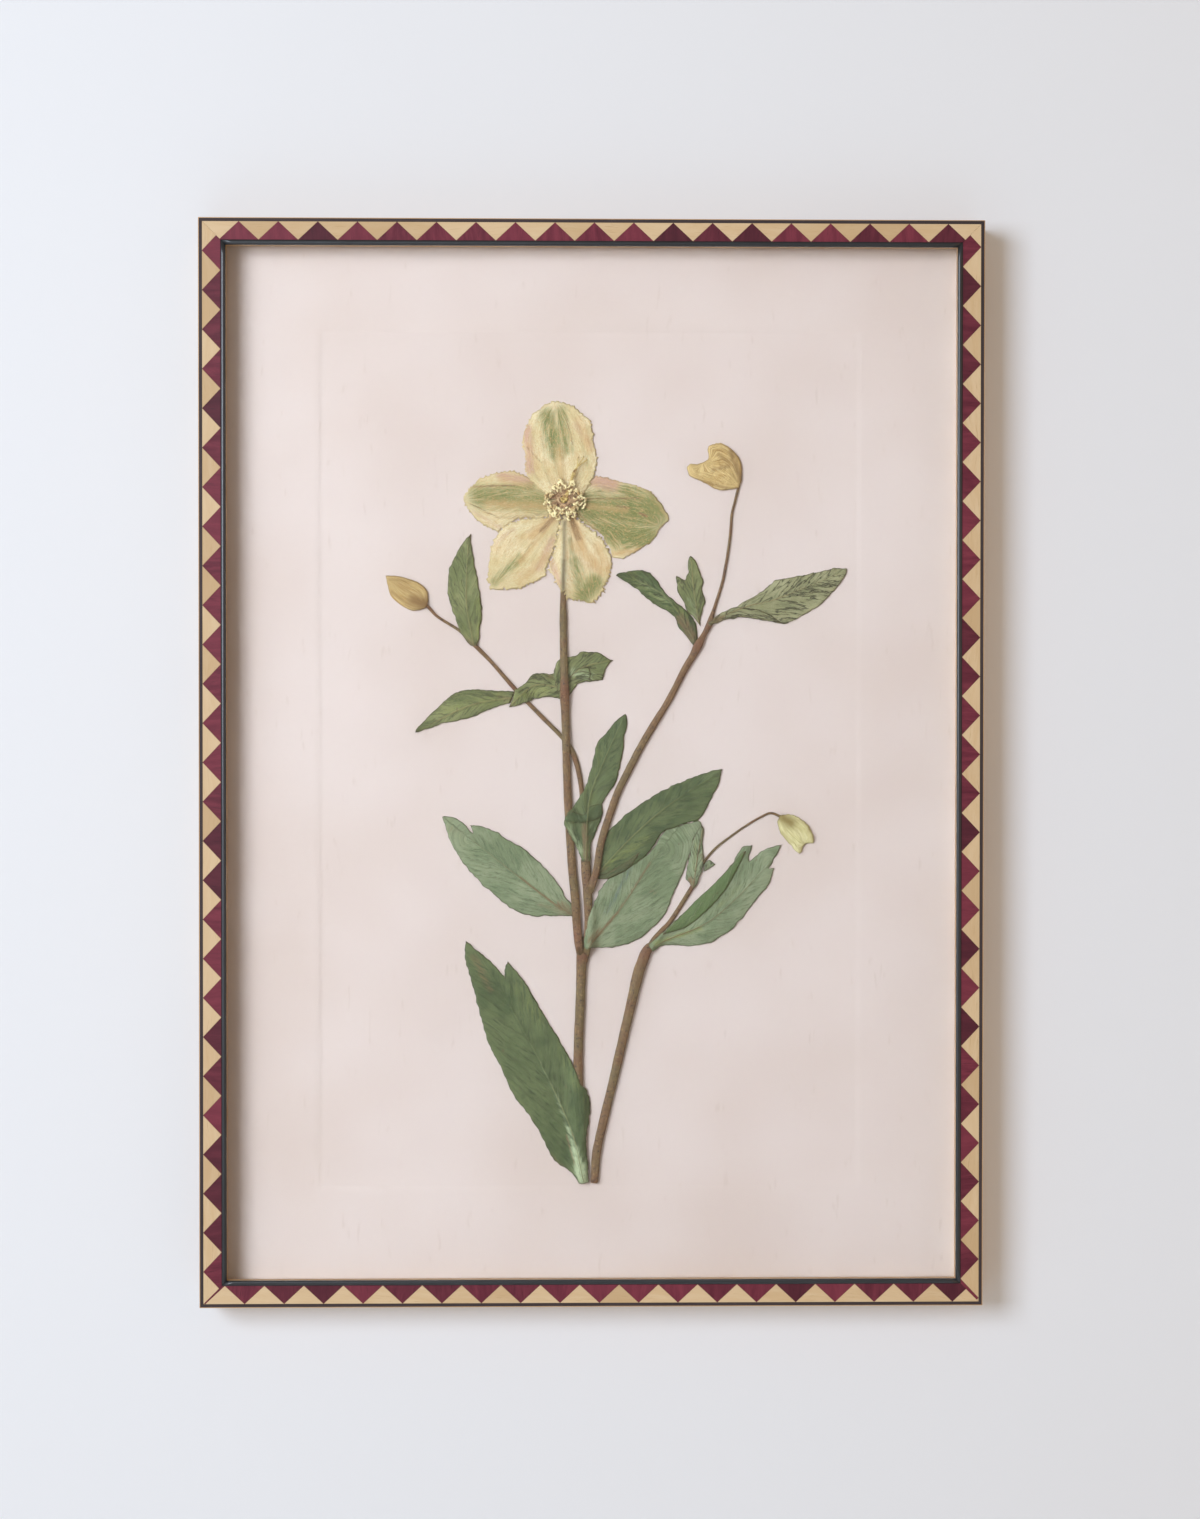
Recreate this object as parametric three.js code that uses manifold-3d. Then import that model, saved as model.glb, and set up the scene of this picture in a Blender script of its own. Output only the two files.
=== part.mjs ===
// A pressed flowering stem with leaves and buds, mounted on paper in a glazed wooden picture frame
// whose face is inlaid with two rows of triangles.
// Everything is laid out as the frame would lie on its back: x to the right, y up the picture and
// z towards the viewer, with z = 0 at the front of the paper. The last lines stand it upright.
import * as THREE from 'three';
import { mergeVertices } from 'three/addons/utils/BufferGeometryUtils.js';
import Module from 'manifold-3d';

const wasm = await Module();
wasm.setup();

// Driving dimensions, in millimetres
const frame = { width: 311, height: 431, depth: 21, face: 10.8, wall: 5.2 };
const gap = 0.3; // between pieces that touch
const seam = 0.15; // between the strips laid side by side on the face
const sheet = { width: 297, height: 420, thickness: 0.5 };
const spacer = { width: 3.8, depth: 5.5 };
const glass = { thickness: 2, clearance: 0.4 };
const lip = 2.9; // depth of the rail's lip in front of the glass
const veneer = 0.8;
const woodEdge = 0.3; // rim of bare wood outside the dark line
const lineWidth = 1;
const bead = { width: 1.95, rise: 0.55 };
const backing = { thickness: 3 };
const backPoint = { width: 12, length: 15, thickness: 0.5, beside: 45 }; // the top one clears the hanger
const hanger = {
  width: 46, height: 8, thickness: 0.8, standOff: 1.4, foot: 6, below: 14, teeth: 11, tooth: 1.6,
};
const stem = { flatness: 0.55, sides: 8 };
const midrib = { flatness: 0.4, sides: 6, sunk: 0.2 }; // sunk by this share of its width
const leafThickness = 0.45;
const foldRaise = 0.7; // a folded part lies this share of a leaf's thickness higher
const sepalThickness = 0.4;
const budThickness = 2.6;
const stamens = {
  count: 44, inner: 2.4, outer: 4, ringDepth: 0.9, reach: 8.6, back: 2.5, lift: 1.1,
  filament: 0.22, anther: 0.85,
};
const ovary = { radius: 1.9, height: 4.2, sides: 10, rings: 6 };

// The stack of pieces, from the paper forwards and then backwards
const spacerBack = gap;
const glassBack = spacerBack + spacer.depth + gap;
const lipBack = glassBack + glass.thickness + gap;
const bed = lipBack + lip;
const veneerBack = bed + gap;
const frontFace = veneerBack + veneer;
const rearFace = frontFace - frame.depth;
const backingBack = -sheet.thickness - gap - backing.thickness;

// The specimen is laid out in pixels of the reference photograph, which are converted to
// millimetres on the paper by its scale and the pixel at the middle of the frame.
const paperScale = 0.4;
const paperCentre = { x: 591.4, y: 763.2 };
const onPaper = (x, y) => new THREE.Vector2(x - paperCentre.x, paperCentre.y - y).multiplyScalar(paperScale);

const colours = {
  wood: 0xc9a677,
  banding: 0xc9a584,
  line: 0x1d1a18,
  bead: 0x171c1d,
  glass: 0xdfe8e6,
  spacer: 0xd8c3a0,
  paper: 0xe2d0c4,
  board: 0x8a6f52,
  steel: 0xa9abad,
  leafDark: 0x56703f,
  leafGrey: 0x768c73,
  leafOlive: 0x7c8350,
  stem: 0x9c8358,
  sepal: 0xded3a4,
  stamen: 0xe9d489,
  style: 0xc9a24a,
  budGold: 0xb98f45,
  budPale: 0xc3bf7c,
};

// A deterministic scatter between -1 and 1
const scatter = (n) => {
  const s = Math.sin(n * 12.9898) * 43758.5453;
  return 2 * (s - Math.floor(s)) - 1;
};

function solidOf(geometry) {
  const bare = geometry.clone();
  bare.deleteAttribute('normal');
  bare.deleteAttribute('uv');
  const merged = mergeVertices(bare, 1e-4);
  return new wasm.Manifold(new wasm.Mesh({
    numProp: 3,
    vertProperties: Float32Array.from(merged.attributes.position.array),
    triVerts: Uint32Array.from(merged.index.array),
  }));
}

function geometryOf(solid) {
  const { vertProperties, triVerts } = solid.getMesh();
  const geometry = new THREE.BufferGeometry();
  geometry.setAttribute('position', new THREE.BufferAttribute(vertProperties, 3));
  geometry.setIndex(new THREE.BufferAttribute(triVerts, 1));
  geometry.computeVertexNormals();
  return geometry;
}

const fused = (...parts) => geometryOf(parts.map(solidOf).reduce((sum, next) => sum.add(next)));

function piece(name, geometry, colour, roughness = 0.8, metalness = 0) {
  const material = new THREE.MeshStandardMaterial({ color: colour, roughness, metalness });
  const mesh = new THREE.Mesh(geometry, material);
  mesh.name = name;
  return mesh;
}

function box(width, height, back, front) {
  const geometry = new THREE.BoxGeometry(width, height, front - back);
  return geometry.translate(0, 0, (back + front) / 2);
}

// The frame

// A bar with mitred ends. Its profile holds [distance in from the frame's outer edge, z] pairs.
function mitredBar(profile, length, reach) {
  const shape = new THREE.Shape(profile.map(([inset, z]) => new THREE.Vector2(inset, z)));
  const geometry = new THREE.ExtrudeGeometry(shape, { depth: 1, bevelEnabled: false });
  const corners = geometry.attributes.position;
  for (let i = 0; i < corners.count; i += 1) {
    const inset = corners.getX(i);
    const half = length / 2 - inset - gap * Math.SQRT1_2;
    corners.setXYZ(i, (1 - 2 * corners.getZ(i)) * half, reach - inset, corners.getY(i));
  }
  geometry.computeVertexNormals();
  return geometry;
}

// The same profile on the four sides of the frame
function fourSides(name, profile, colour, roughness) {
  return ['top', 'right', 'bottom', 'left'].map((side, turn) => {
    const [length, across] = turn % 2 ? [frame.height, frame.width] : [frame.width, frame.height];
    const geometry = mitredBar(profile, length, across / 2).rotateZ(-turn * Math.PI / 2);
    return piece(`${name}_${side}`, geometry, colour, roughness);
  });
}

const rectangle = (from, to, back, front) => [[from, back], [to, back], [to, front], [from, front]];

// An outer wall, a lip in front of the glass, and a thin rim round the inlaid strips
const railProfile = [
  [0, rearFace], [frame.wall, rearFace], [frame.wall, lipBack], [frame.face, lipBack],
  [frame.face, bed], [woodEdge, bed], [woodEdge, frontFace], [0, frontFace],
];
const lineFrom = woodEdge + seam;
const lineTo = lineFrom + lineWidth;
const beadFrom = frame.face - bead.width;
const lineProfile = rectangle(lineFrom, lineTo, veneerBack, frontFace);
const bandingProfile = rectangle(lineTo + seam, beadFrom - seam, veneerBack, frontFace);
const spacerFrom = frame.wall + gap;
const spacerProfile = rectangle(spacerFrom, spacerFrom + spacer.width, spacerBack, spacerBack + spacer.depth);

// A strip with a rounded crown that stands a little proud of the face
function beadProfile() {
  const crown = [];
  const steps = 6;
  for (let i = 0; i <= steps; i += 1) {
    const angle = Math.PI * i / steps;
    const inset = frame.face - bead.width / 2 * (1 - Math.cos(angle));
    crown.push([inset, frontFace + bead.rise * Math.sin(angle)]);
  }
  return [[beadFrom, veneerBack], [frame.face, veneerBack], ...crown];
}

function frameFace() {
  return [
    ...fourSides('rail', railProfile, colours.wood, 0.6),
    ...fourSides('outer_line', lineProfile, colours.line, 0.5),
    ...fourSides('banding', bandingProfile, colours.banding, 0.45),
    ...fourSides('inner_bead', beadProfile(), colours.bead, 0.3),
    ...fourSides('spacer', spacerProfile, colours.spacer, 0.8),
  ];
}

// What the rebate holds: glass, the sheet and the board behind it
function filling() {
  const edge = frame.wall + glass.clearance;
  const [width, height] = [frame.width - 2 * edge, frame.height - 2 * edge];
  return [
    piece('glass', box(width, height, glassBack, glassBack + glass.thickness), colours.glass, 0.05),
    piece('mount_sheet', box(sheet.width, sheet.height, -sheet.thickness, 0), colours.paper, 0.9),
    piece('backing_board', box(width, height, backingBack, -sheet.thickness - gap), colours.board, 0.9),
  ];
}

// Flat points that hold the board in the rebate, one at the middle of each side
function backPoints() {
  const front = backingBack - gap;
  return ['top', 'right', 'bottom', 'left'].map((side, turn) => {
    const across = turn % 2 ? frame.width : frame.height;
    const outline = new THREE.Shape();
    const reach = across / 2 - frame.wall - gap;
    const half = backPoint.width / 2;
    const shoulder = reach - backPoint.length / 2;
    outline.moveTo(-half, reach);
    outline.lineTo(half, reach);
    outline.lineTo(half, shoulder);
    outline.absarc(0, reach - backPoint.length + half / 2, half / 2, 0, -Math.PI, true);
    outline.lineTo(-half, shoulder);
    const shape = { depth: backPoint.thickness, bevelEnabled: false, curveSegments: 6 };
    const geometry = new THREE.ExtrudeGeometry(outline, shape);
    const aside = side === 'top' ? backPoint.beside : 0;
    geometry.translate(aside, 0, front - backPoint.thickness).rotateZ(-turn * Math.PI / 2);
    return piece(`back_point_${side}`, geometry, colours.steel, 0.4, 0.9);
  });
}

// A toothed strip standing off the board on two feet. The frame hangs by its middle notch.
const hangerTop = frame.height / 2 - frame.wall - hanger.below;
const notch = hangerTop - hanger.height + hanger.tooth;
const plateFront = backingBack - gap - hanger.standOff;
const plateMiddle = plateFront - hanger.thickness / 2;

function sawtoothHanger() {
  const outline = new THREE.Shape();
  const half = hanger.width / 2;
  const low = hangerTop - hanger.height;
  const toothed = hanger.width - 2 * hanger.foot;
  const pitch = toothed / hanger.teeth;
  outline.moveTo(-half, hangerTop);
  outline.lineTo(-half, low);
  for (let i = 0; i < hanger.teeth; i += 1) {
    outline.lineTo(-toothed / 2 + i * pitch, low);
    outline.lineTo(-toothed / 2 + (i + 0.5) * pitch, notch);
  }
  outline.lineTo(toothed / 2, low);
  outline.lineTo(half, low);
  outline.lineTo(half, hangerTop);
  const plate = new THREE.ExtrudeGeometry(outline, { depth: hanger.thickness, bevelEnabled: false });
  plate.translate(0, 0, plateFront - hanger.thickness);
  const feet = [-1, 1].map((side) => {
    const foot = box(hanger.foot, hanger.height, plateFront - hanger.thickness / 2, backingBack - gap);
    return foot.translate(side * (half - hanger.foot / 2), hangerTop - hanger.height / 2, 0);
  });
  return piece('sawtooth_hanger', fused(plate, ...feet), colours.steel, 0.35, 0.9);
}

// The specimen

// The closed outline through edges read from the photograph. Each edge is a smooth run from one
// corner to the next and begins where the edge before it ended.
function outlineThrough(edges) {
  const points = [];
  let corner = edges.at(-1).at(-1);
  for (const edge of edges) {
    const run = new THREE.SplineCurve([corner, ...edge].map(([x, y]) => onPaper(x, y)));
    points.push(...run.getPoints(2 * edge.length).slice(1));
    corner = edge.at(-1);
  }
  return new THREE.Shape(points);
}

// Heights on a plane that rises evenly over the paper through two places of [x, y, height]
function slope(low, high) {
  const from = onPaper(low[0], low[1]);
  const along = onPaper(high[0], high[1]).sub(from);
  return (place) => low[2] + (high[2] - low[2]) * place.clone().sub(from).dot(along) / along.lengthSq();
}

// A sheet of even thickness whose underside lies on such a plane
function tiltedSheet(edges, depth, low, high, raise = 0) {
  const geometry = new THREE.ExtrudeGeometry(outlineThrough(edges), { depth, bevelEnabled: false });
  const height = slope(low, high);
  const corners = geometry.attributes.position;
  for (let i = 0; i < corners.count; i += 1) {
    const place = new THREE.Vector2(corners.getX(i), corners.getY(i));
    corners.setZ(i, corners.getZ(i) + height(place) + raise);
  }
  geometry.computeVertexNormals();
  return geometry;
}

// A flattened stem through stations of [x, y, width in pixels, height of its underside]
function pressedStem(stations, { flatness, sides } = stem) {
  const line = new THREE.CatmullRomCurve3(stations.map(([x, y, , height]) => {
    const { x: right, y: up } = onPaper(x, y);
    return new THREE.Vector3(right, up, height);
  }));
  const measured = stations.map(([, , width], i) => new THREE.Vector2(i, width * paperScale));
  const widths = new THREE.SplineCurve(measured);
  const spans = Math.ceil(1.5 * (stations.length - 1));
  const vertices = [];
  const faces = [];
  for (let k = 0; k <= spans; k += 1) {
    const centre = line.getPoint(k / spans);
    const across = line.getTangent(k / spans).setZ(0).normalize();
    across.set(-across.y, across.x, 0);
    const radius = widths.getPoint(k / spans).y / 2;
    for (let j = 0; j < sides; j += 1) {
      const angle = 2 * Math.PI * j / sides;
      const rim = centre.clone().addScaledVector(across, radius * Math.cos(angle));
      vertices.push(rim.x, rim.y, rim.z + radius * flatness * (1 + Math.sin(angle)));
      const [a, b] = [k * sides + j, k * sides + (j + 1) % sides];
      if (k < spans) faces.push(a, b, a + sides, b, b + sides, a + sides);
    }
  }
  const last = spans * sides;
  for (let j = 1; j < sides - 1; j += 1) {
    faces.push(0, j + 1, j, last, last + j, last + j + 1);
  }
  const geometry = new THREE.BufferGeometry();
  geometry.setAttribute('position', new THREE.Float32BufferAttribute(vertices, 3));
  geometry.setIndex(faces);
  geometry.computeVertexNormals();
  return geometry;
}

// Stems: each is one run between the main forks
const stems = {
  main_stem: [
    [582.4, 1183, 9, 0.3], [580, 1140, 9, 0.3], [578, 1082, 9.5, 0.3], [578, 1048, 9.4, 0.3],
    [580, 998, 9.4, 0.3], [581, 965, 10.5, 0.3], [582.5, 949, 13.5, 0.3],
  ],
  flower_stem: [
    [578.6, 946.5, 8, 0.3], [576.5, 925, 8.4, 0.6], [574.5, 895, 8.6, 1.1], [571.5, 865, 8.4, 1.4],
    [568, 810, 8, 1.5], [566, 760, 7.8, 1.6], [565, 720, 7.8, 1.6], [564.2, 686, 9.4, 1.6],
    [563, 645, 7.6, 1.5], [562.6, 612, 7.2, 0.4], [562.6, 598, 6, 0.3], [563.3, 560, 4.6, 0.3],
    [563.6, 531, 4.2, 0.3],
  ],
  middle_stem: [
    [587.6, 946.5, 8, 0.3], [588, 920, 7.6, 0.3], [587, 890, 8, 0.3], [585, 858, 9.5, 0.3],
  ],
  right_branch: [
    [596, 868, 7, 3.7], [600, 845, 7.3, 3.6], [605, 827, 7.3, 3.3], [611, 809, 7.3, 2.3],
    [618, 790, 7.2, 1.3], [628, 770, 7.2, 0.6], [639, 748.5, 7.2, 0.3], [652, 726, 7, 0.3],
    [668, 700, 6.4, 0.3], [683.5, 670, 6.8, 0.3], [692.4, 655, 7, 0.3], [697.4, 645, 8.2, 0.3],
    [703.5, 635, 4.8, 0.3], [709.3, 623, 6, 0.3], [712.3, 612, 3.8, 0.3], [716.2, 600, 3, 0.3],
    [723, 576.5, 3, 0.3], [729, 540, 2.8, 0.3], [731, 515, 2.5, 0.3], [734, 502, 2.4, 0.3],
    [737.6, 491, 2.2, 0.3],
  ],
  left_branch: [
    [429, 608, 3, 0.3], [438, 617, 2.8, 0.3], [460, 631, 3, 0.3], [474.5, 645, 4, 0.3],
    [493, 664, 3.6, 0.3], [514, 688, 4, 0.3], [540, 715, 4, 0.3], [560, 735, 4.2, 0.3],
    [569, 746, 5, 0.3], [574.5, 758, 6, 0.3], [578.5, 773, 5, 0.3], [581.5, 795, 4.6, 0.3],
    [584.5, 851, 4.6, 0.3],
  ],
  side_stem: [
    [594, 1183, 8.6, 0.3], [596.5, 1152, 8.6, 0.3], [603.5, 1119, 8.7, 0.3], [613, 1080, 8.8, 0.3],
    [629.3, 1010, 9.8, 0.3], [637.2, 976, 11.8, 0.3], [642, 961, 11, 0.3], [645.2, 952.5, 10.5, 0.3],
  ],
  side_branch: [
    [662, 930.5, 5, 0.3], [672, 918, 4.2, 0.3], [691.5, 887, 4, 0.3], [703.4, 861, 2.6, 0.3],
    [715, 848, 2.2, 0.3], [729, 837, 2, 0.3], [746, 825, 2, 0.3], [761.6, 816, 2, 0.3],
    [774.5, 813.5, 2.2, 0.3],
  ],
};

// Leaves: the edges of each, its midrib, any part folded over its front, and how it is tilted
const leaves = {
  leaf_bottom: {
    colour: colours.leafDark,
    edges: [
      [[477, 950], [489, 960], [505, 977]],
      [[507.5, 961]],
      [[522.6, 979], [549.6, 1024.6], [573, 1065], [581, 1082], [590, 1103], [587, 1129], [586.5, 1150],
        [588.5, 1182]],
      [[579, 1183]],
      [[571.6, 1173], [558, 1164], [548, 1151], [527.7, 1114], [502, 1070], [480, 1014.5], [467, 968],
        [465.5, 941]],
    ],
    rib: [[582, 1176, 3], [571, 1130, 2.6], [543, 1068, 2], [509, 1004, 1]],
    low: [465, 1060, 0.3], high: [573, 1060, 2.7],
  },
  leaf_left: {
    colour: colours.leafGrey,
    edges: [
      [[451, 816.4], [460, 820], [468.6, 828.3]],
      [[481.6, 826], [495.7, 831.6], [525, 849.5], [548, 871], [566, 897], [571, 908.5]],
      [[561.8, 914.5], [539, 916], [513, 909], [491, 892], [467.5, 868], [449, 837.5], [442.4, 816.2]],
    ],
    rib: [[566, 911, 2.2], [543, 895, 1.8], [513, 872, 1.4], [478, 846, 0.8]],
    low: [445, 820, 0.3], high: [570, 908, 0.35],
  },
  leaf_right_upper: {
    colour: colours.leafDark,
    edges: [
      [[712.5, 770], [682, 781], [654, 794.5], [625, 814], [611, 829], [603.5, 848], [594, 874]],
      [[608, 876], [628, 867]],
      [[648, 853], [661.6, 833], [688, 822], [699, 819], [709, 801], [722.2, 768.5]],
    ],
    rib: [[604, 868, 2.2], [634, 834, 1.8], [672, 802, 1.4], [710, 777, 0.8]],
    fold: [
      [[606, 870], [628, 860], [641, 848]],
      [[628, 868], [607, 877], [597, 876]],
      [[606, 870]],
    ],
    low: [722, 770, 1.2], high: [595, 875, 2.7],
  },
  leaf_right_lower: {
    colour: colours.leafGrey,
    edges: [
      [[659, 837], [642, 858], [622.7, 867.5], [606, 880], [594.6, 900], [587, 925], [584, 945]],
      [[603, 947.5], [622.7, 945], [636.7, 940], [648, 931], [662, 917], [673, 893], [685, 866], [694, 838],
        [702, 825]],
      [[698.5, 820], [687, 823], [672, 826]],
    ],
    rib: [[592, 945, 2.4], [617, 916.6, 2], [634, 891, 1.6], [659, 856, 1]],
    low: [700, 840, 0.3], high: [588, 930, 2.4],
  },
  leaf_folded: {
    colour: colours.leafOlive,
    edges: [
      [[703.4, 840], [703, 862], [697, 883], [693, 888]],
      [[688.7, 882], [687, 868], [692, 850], [702, 827]],
    ],
    rib: [[694, 880, 1.6], [697, 858, 1.2], [701, 838, 0.8]],
    low: [702, 830, 1.5], high: [693, 888, 1.5],
  },
  leaf_three_lobed: {
    colour: colours.leafGrey,
    edges: [
      [[743, 846.5], [731, 865], [698.5, 898], [671, 926], [656, 937.5], [647.5, 944]],
      [[652.5, 951.5]],
      [[662, 946], [679, 945], [696, 946], [710, 942], [728, 932], [750, 907], [774.5, 868]],
      [[769, 868]],
      [[775.6, 856], [782.7, 843.4]],
      [[771, 846.5], [761.6, 851], [749, 860.5]],
      [[752, 845]],
    ],
    fold: [
      [[742, 852], [728, 870], [698, 900], [664, 933]],
      [[687, 926], [710, 907], [728, 886], [751, 848]],
    ],
    rib: [[652, 947, 3.4], [668, 938, 2.6], [704, 924, 1.8], [734, 900, 1.4], [764, 870, 0.8]],
    low: [782, 843, 0.4], high: [650, 948, 2],
  },
  leaf_centre: {
    colour: colours.leafDark,
    edges: [
      [[615.6, 720], [606, 731.5], [594, 754.5], [585, 786], [571, 808], [563.5, 822]],
      [[567, 830], [573, 841], [577, 850]],
      [[588, 850], [594, 829], [599, 815], [600.5, 803], [608, 792], [619, 768], [626.5, 728], [625, 713.7]],
    ],
    fold: [
      [[583, 815], [599, 805], [608, 790]],
      [[599, 814], [583, 824], [567, 822]],
      [[583, 815]],
    ],
    rib: [[583, 838, 2], [589, 800, 1.8], [603, 762, 1.4], [618, 730, 0.8]],
    low: [625, 714, 0.5], high: [565, 820, 3.9],
  },
  leaf_left_narrow: {
    colour: colours.leafOlive,
    edges: [
      [[417.6, 727], [432, 713], [448.5, 697.5], [463, 690], [489, 690], [508, 692]],
      [[503, 703]],
      [[486, 709], [465, 718.6], [439, 724], [415, 732.6]],
    ],
    rib: [[504, 697, 1.8], [470, 705, 1.4], [435, 721, 0.8]],
    low: [415, 732, 0.3], high: [508, 697, 0.35],
  },
  leaf_left_crumpled: {
    colour: colours.leafOlive,
    edges: [
      [[513, 696], [513.7, 689]],
      [[524, 683.5], [533, 674], [545, 673], [553, 675]],
      [[557, 699]],
      [[541, 697], [528.5, 701], [509, 706.6]],
    ],
    rib: [[552, 686, 1.6], [534, 687, 1.4], [514, 700, 1]],
    low: [509, 706, 1.9], high: [557, 687, 1.9],
  },
  leaf_right_crumpled: {
    colour: colours.leafOlive,
    edges: [
      [[556, 662], [566, 656], [582.5, 651], [605.6, 657], [612.4, 660]],
      [[604, 672], [602.6, 680]],
      [[587, 681], [577.6, 684], [569, 696]],
      [[560, 699], [554.5, 674]],
    ],
    rib: [[561, 681, 1.8], [580, 668, 1.4], [604, 661, 0.8]],
    low: [569, 696, 0.4], high: [605, 657, 0.8],
  },
  leaf_upper_left: {
    colour: colours.leafOlive,
    edges: [
      [[458, 551], [450, 566], [447.5, 582], [453, 612], [461, 632]],
      [[474, 642], [479, 638]],
      [[481.6, 618], [480.6, 600], [475.7, 571], [470.7, 534]],
    ],
    rib: [[470, 636, 1.8], [466, 600, 1.4], [469, 548, 0.8]],
    low: [470, 540, 0.4], high: [468, 640, 1.5],
  },
  leaf_branch_left: {
    colour: colours.leafGrey,
    edges: [
      [[617.4, 573], [639, 570], [649.7, 572], [666, 594], [686, 611], [694, 622], [696, 635]],
      [[692.5, 641]],
      [[688, 637], [677, 624.6], [673, 615.4]],
      [[658, 606], [646, 598], [635, 588], [621.6, 579], [614.6, 575.7]],
    ],
    rib: [[692, 634, 1.8], [675, 608, 1.5], [650, 586, 1.2], [622, 575, 0.8]],
    low: [615, 575, 0.3], high: [696, 638, 0.5],
  },
  leaf_branch_small: {
    colour: colours.leafDark,
    edges: [
      [[696, 562], [702.5, 581.5], [701.5, 591], [705, 601], [701, 610], [698, 616.5]],
      [[691, 612], [683, 601], [678, 593], [675.4, 575.7]],
      [[684.6, 580]],
      [[687, 570], [690, 556]],
    ],
    rib: [[697, 612, 1.6], [693, 588, 1.2], [691, 566, 0.8]],
    low: [690, 556, 0.5], high: [695, 617, 1.3],
  },
  leaf_branch_right: {
    colour: colours.leafDark,
    edges: [
      [[829, 569], [799, 575.7], [771.6, 582], [749, 598], [728, 609], [712, 618]],
      [[719, 622], [741, 616.6], [772, 621], [784, 624]],
      [[805.6, 613], [824, 600], [837, 586], [847, 569]],
    ],
    fold: [
      [[757.5, 609], [769, 614.6], [784, 624]],
      [[772, 621], [741, 616.6], [723, 617]],
      [[740, 609]],
    ],
    rib: [[722, 614, 2], [746, 608, 1.8], [777, 602, 1.4], [816, 585, 0.8]],
    low: [847, 569, 0.4], high: [714, 620, 2.2],
  },
};

function leaf(name, { colour, edges, rib, fold, low, high }) {
  const parts = [tiltedSheet(edges, leafThickness, low, high)];
  const height = slope(low, high);
  const ridge = rib.map(([x, y, width]) => {
    const top = height(onPaper(x, y)) + leafThickness;
    return [x, y, width, top - midrib.sunk * width * paperScale];
  });
  parts.push(pressedStem(ridge, midrib));
  if (fold) parts.push(tiltedSheet(fold, leafThickness, low, high, foldRaise * leafThickness));
  return piece(name, fused(...parts), colour, 0.7);
}

// The flower's own stem passes behind the lower right sepal
const sepals = {
  sepal_left: {
    edges: [
      [[470, 488], [481.5, 478], [503, 472], [525, 476]],
      [[542, 487], [558, 500]],
      [[546, 515], [526, 517.6], [511, 522.6], [497, 532.5]],
      [[478, 521], [465, 506], [463, 498]],
    ],
    low: [463, 498, 0.3], high: [560, 500, 0.3],
  },
  sepal_right: {
    edges: [
      [[614, 480], [636, 486], [652, 493], [660.5, 503], [668.5, 519]],
      [[657, 532.5], [636, 551], [621, 558], [611.6, 557]],
      [[599, 532.5], [584, 523], [570, 504]],
      [[580, 487], [595, 476]],
    ],
    low: [668, 519, 0.3], high: [570, 500, 0.3],
  },
  sepal_lower_left: {
    edges: [
      [[523, 519], [506, 526], [496, 536], [489.5, 552], [487, 579], [490, 590]],
      [[506, 589], [523, 587], [536, 581.5], [543, 576]],
      [[546, 566], [553, 547], [558, 526], [561, 507]],
      [[553, 512], [546, 517.6]],
    ],
    low: [490, 590, 1], high: [561, 510, 1],
  },
  sepal_lower_right: {
    edges: [
      [[575, 517.6], [586, 526], [599, 536], [607.5, 549], [611, 564], [602.5, 591]],
      [[591, 604], [583, 601], [566, 597]],
      [[556, 582], [548.5, 571], [555, 552], [565, 507]],
      [[570, 512], [575, 517.6]],
    ],
    low: [565, 507, 1.65], high: [590, 604, 2.4],
  },
  sepal_top: {
    edges: [
      [[533, 483], [525.4, 473], [523, 450], [526, 426], [534, 413], [546, 405], [558.6, 401.6]],
      [[581, 413], [590, 423], [593, 440], [596, 462], [589, 486], [578, 497]],
      [[563, 501], [549, 497]],
    ],
    low: [558, 402, 1], high: [563, 500, 1],
  },
};

function sepal(name, { edges, low, high }) {
  return piece(name, tiltedSheet(edges, sepalThickness, low, high), colours.sepal, 0.75);
}

// Buds: the outline filled as a low pillow
const buds = {
  bud_left: {
    colour: colours.budGold,
    edges: [
      [[396, 576], [405.6, 578], [417, 582], [426, 589], [427.6, 598], [425.5, 606]],
      [[416, 610.5], [409, 609.5], [397, 602], [388, 586.5], [385.7, 575.8]],
    ],
  },
  bud_top_right: {
    colour: colours.budGold,
    edges: [
      [[690, 463.6], [705, 461], [707, 447.5]],
      [[713, 444], [720, 443], [735.5, 454], [741, 468], [738, 486.5]],
      [[729, 489], [713, 488], [698, 480], [686, 469.5]],
    ],
  },
  bud_lower_right: {
    colour: colours.budPale,
    edges: [
      [[788, 813.7], [795, 815], [808, 825], [814, 838]],
      [[807, 845], [798.7, 853]],
      [[791, 845], [779.6, 831], [777.5, 822], [779.6, 815]],
    ],
  },
};

// Layers of a pillow: how far the outline is drawn in towards its middle, and the share of the thickness
const pillowLayers = [[0.5, 0], [0.88, 0.18], [1, 0.5], [0.88, 0.82], [0.5, 1]];

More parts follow.
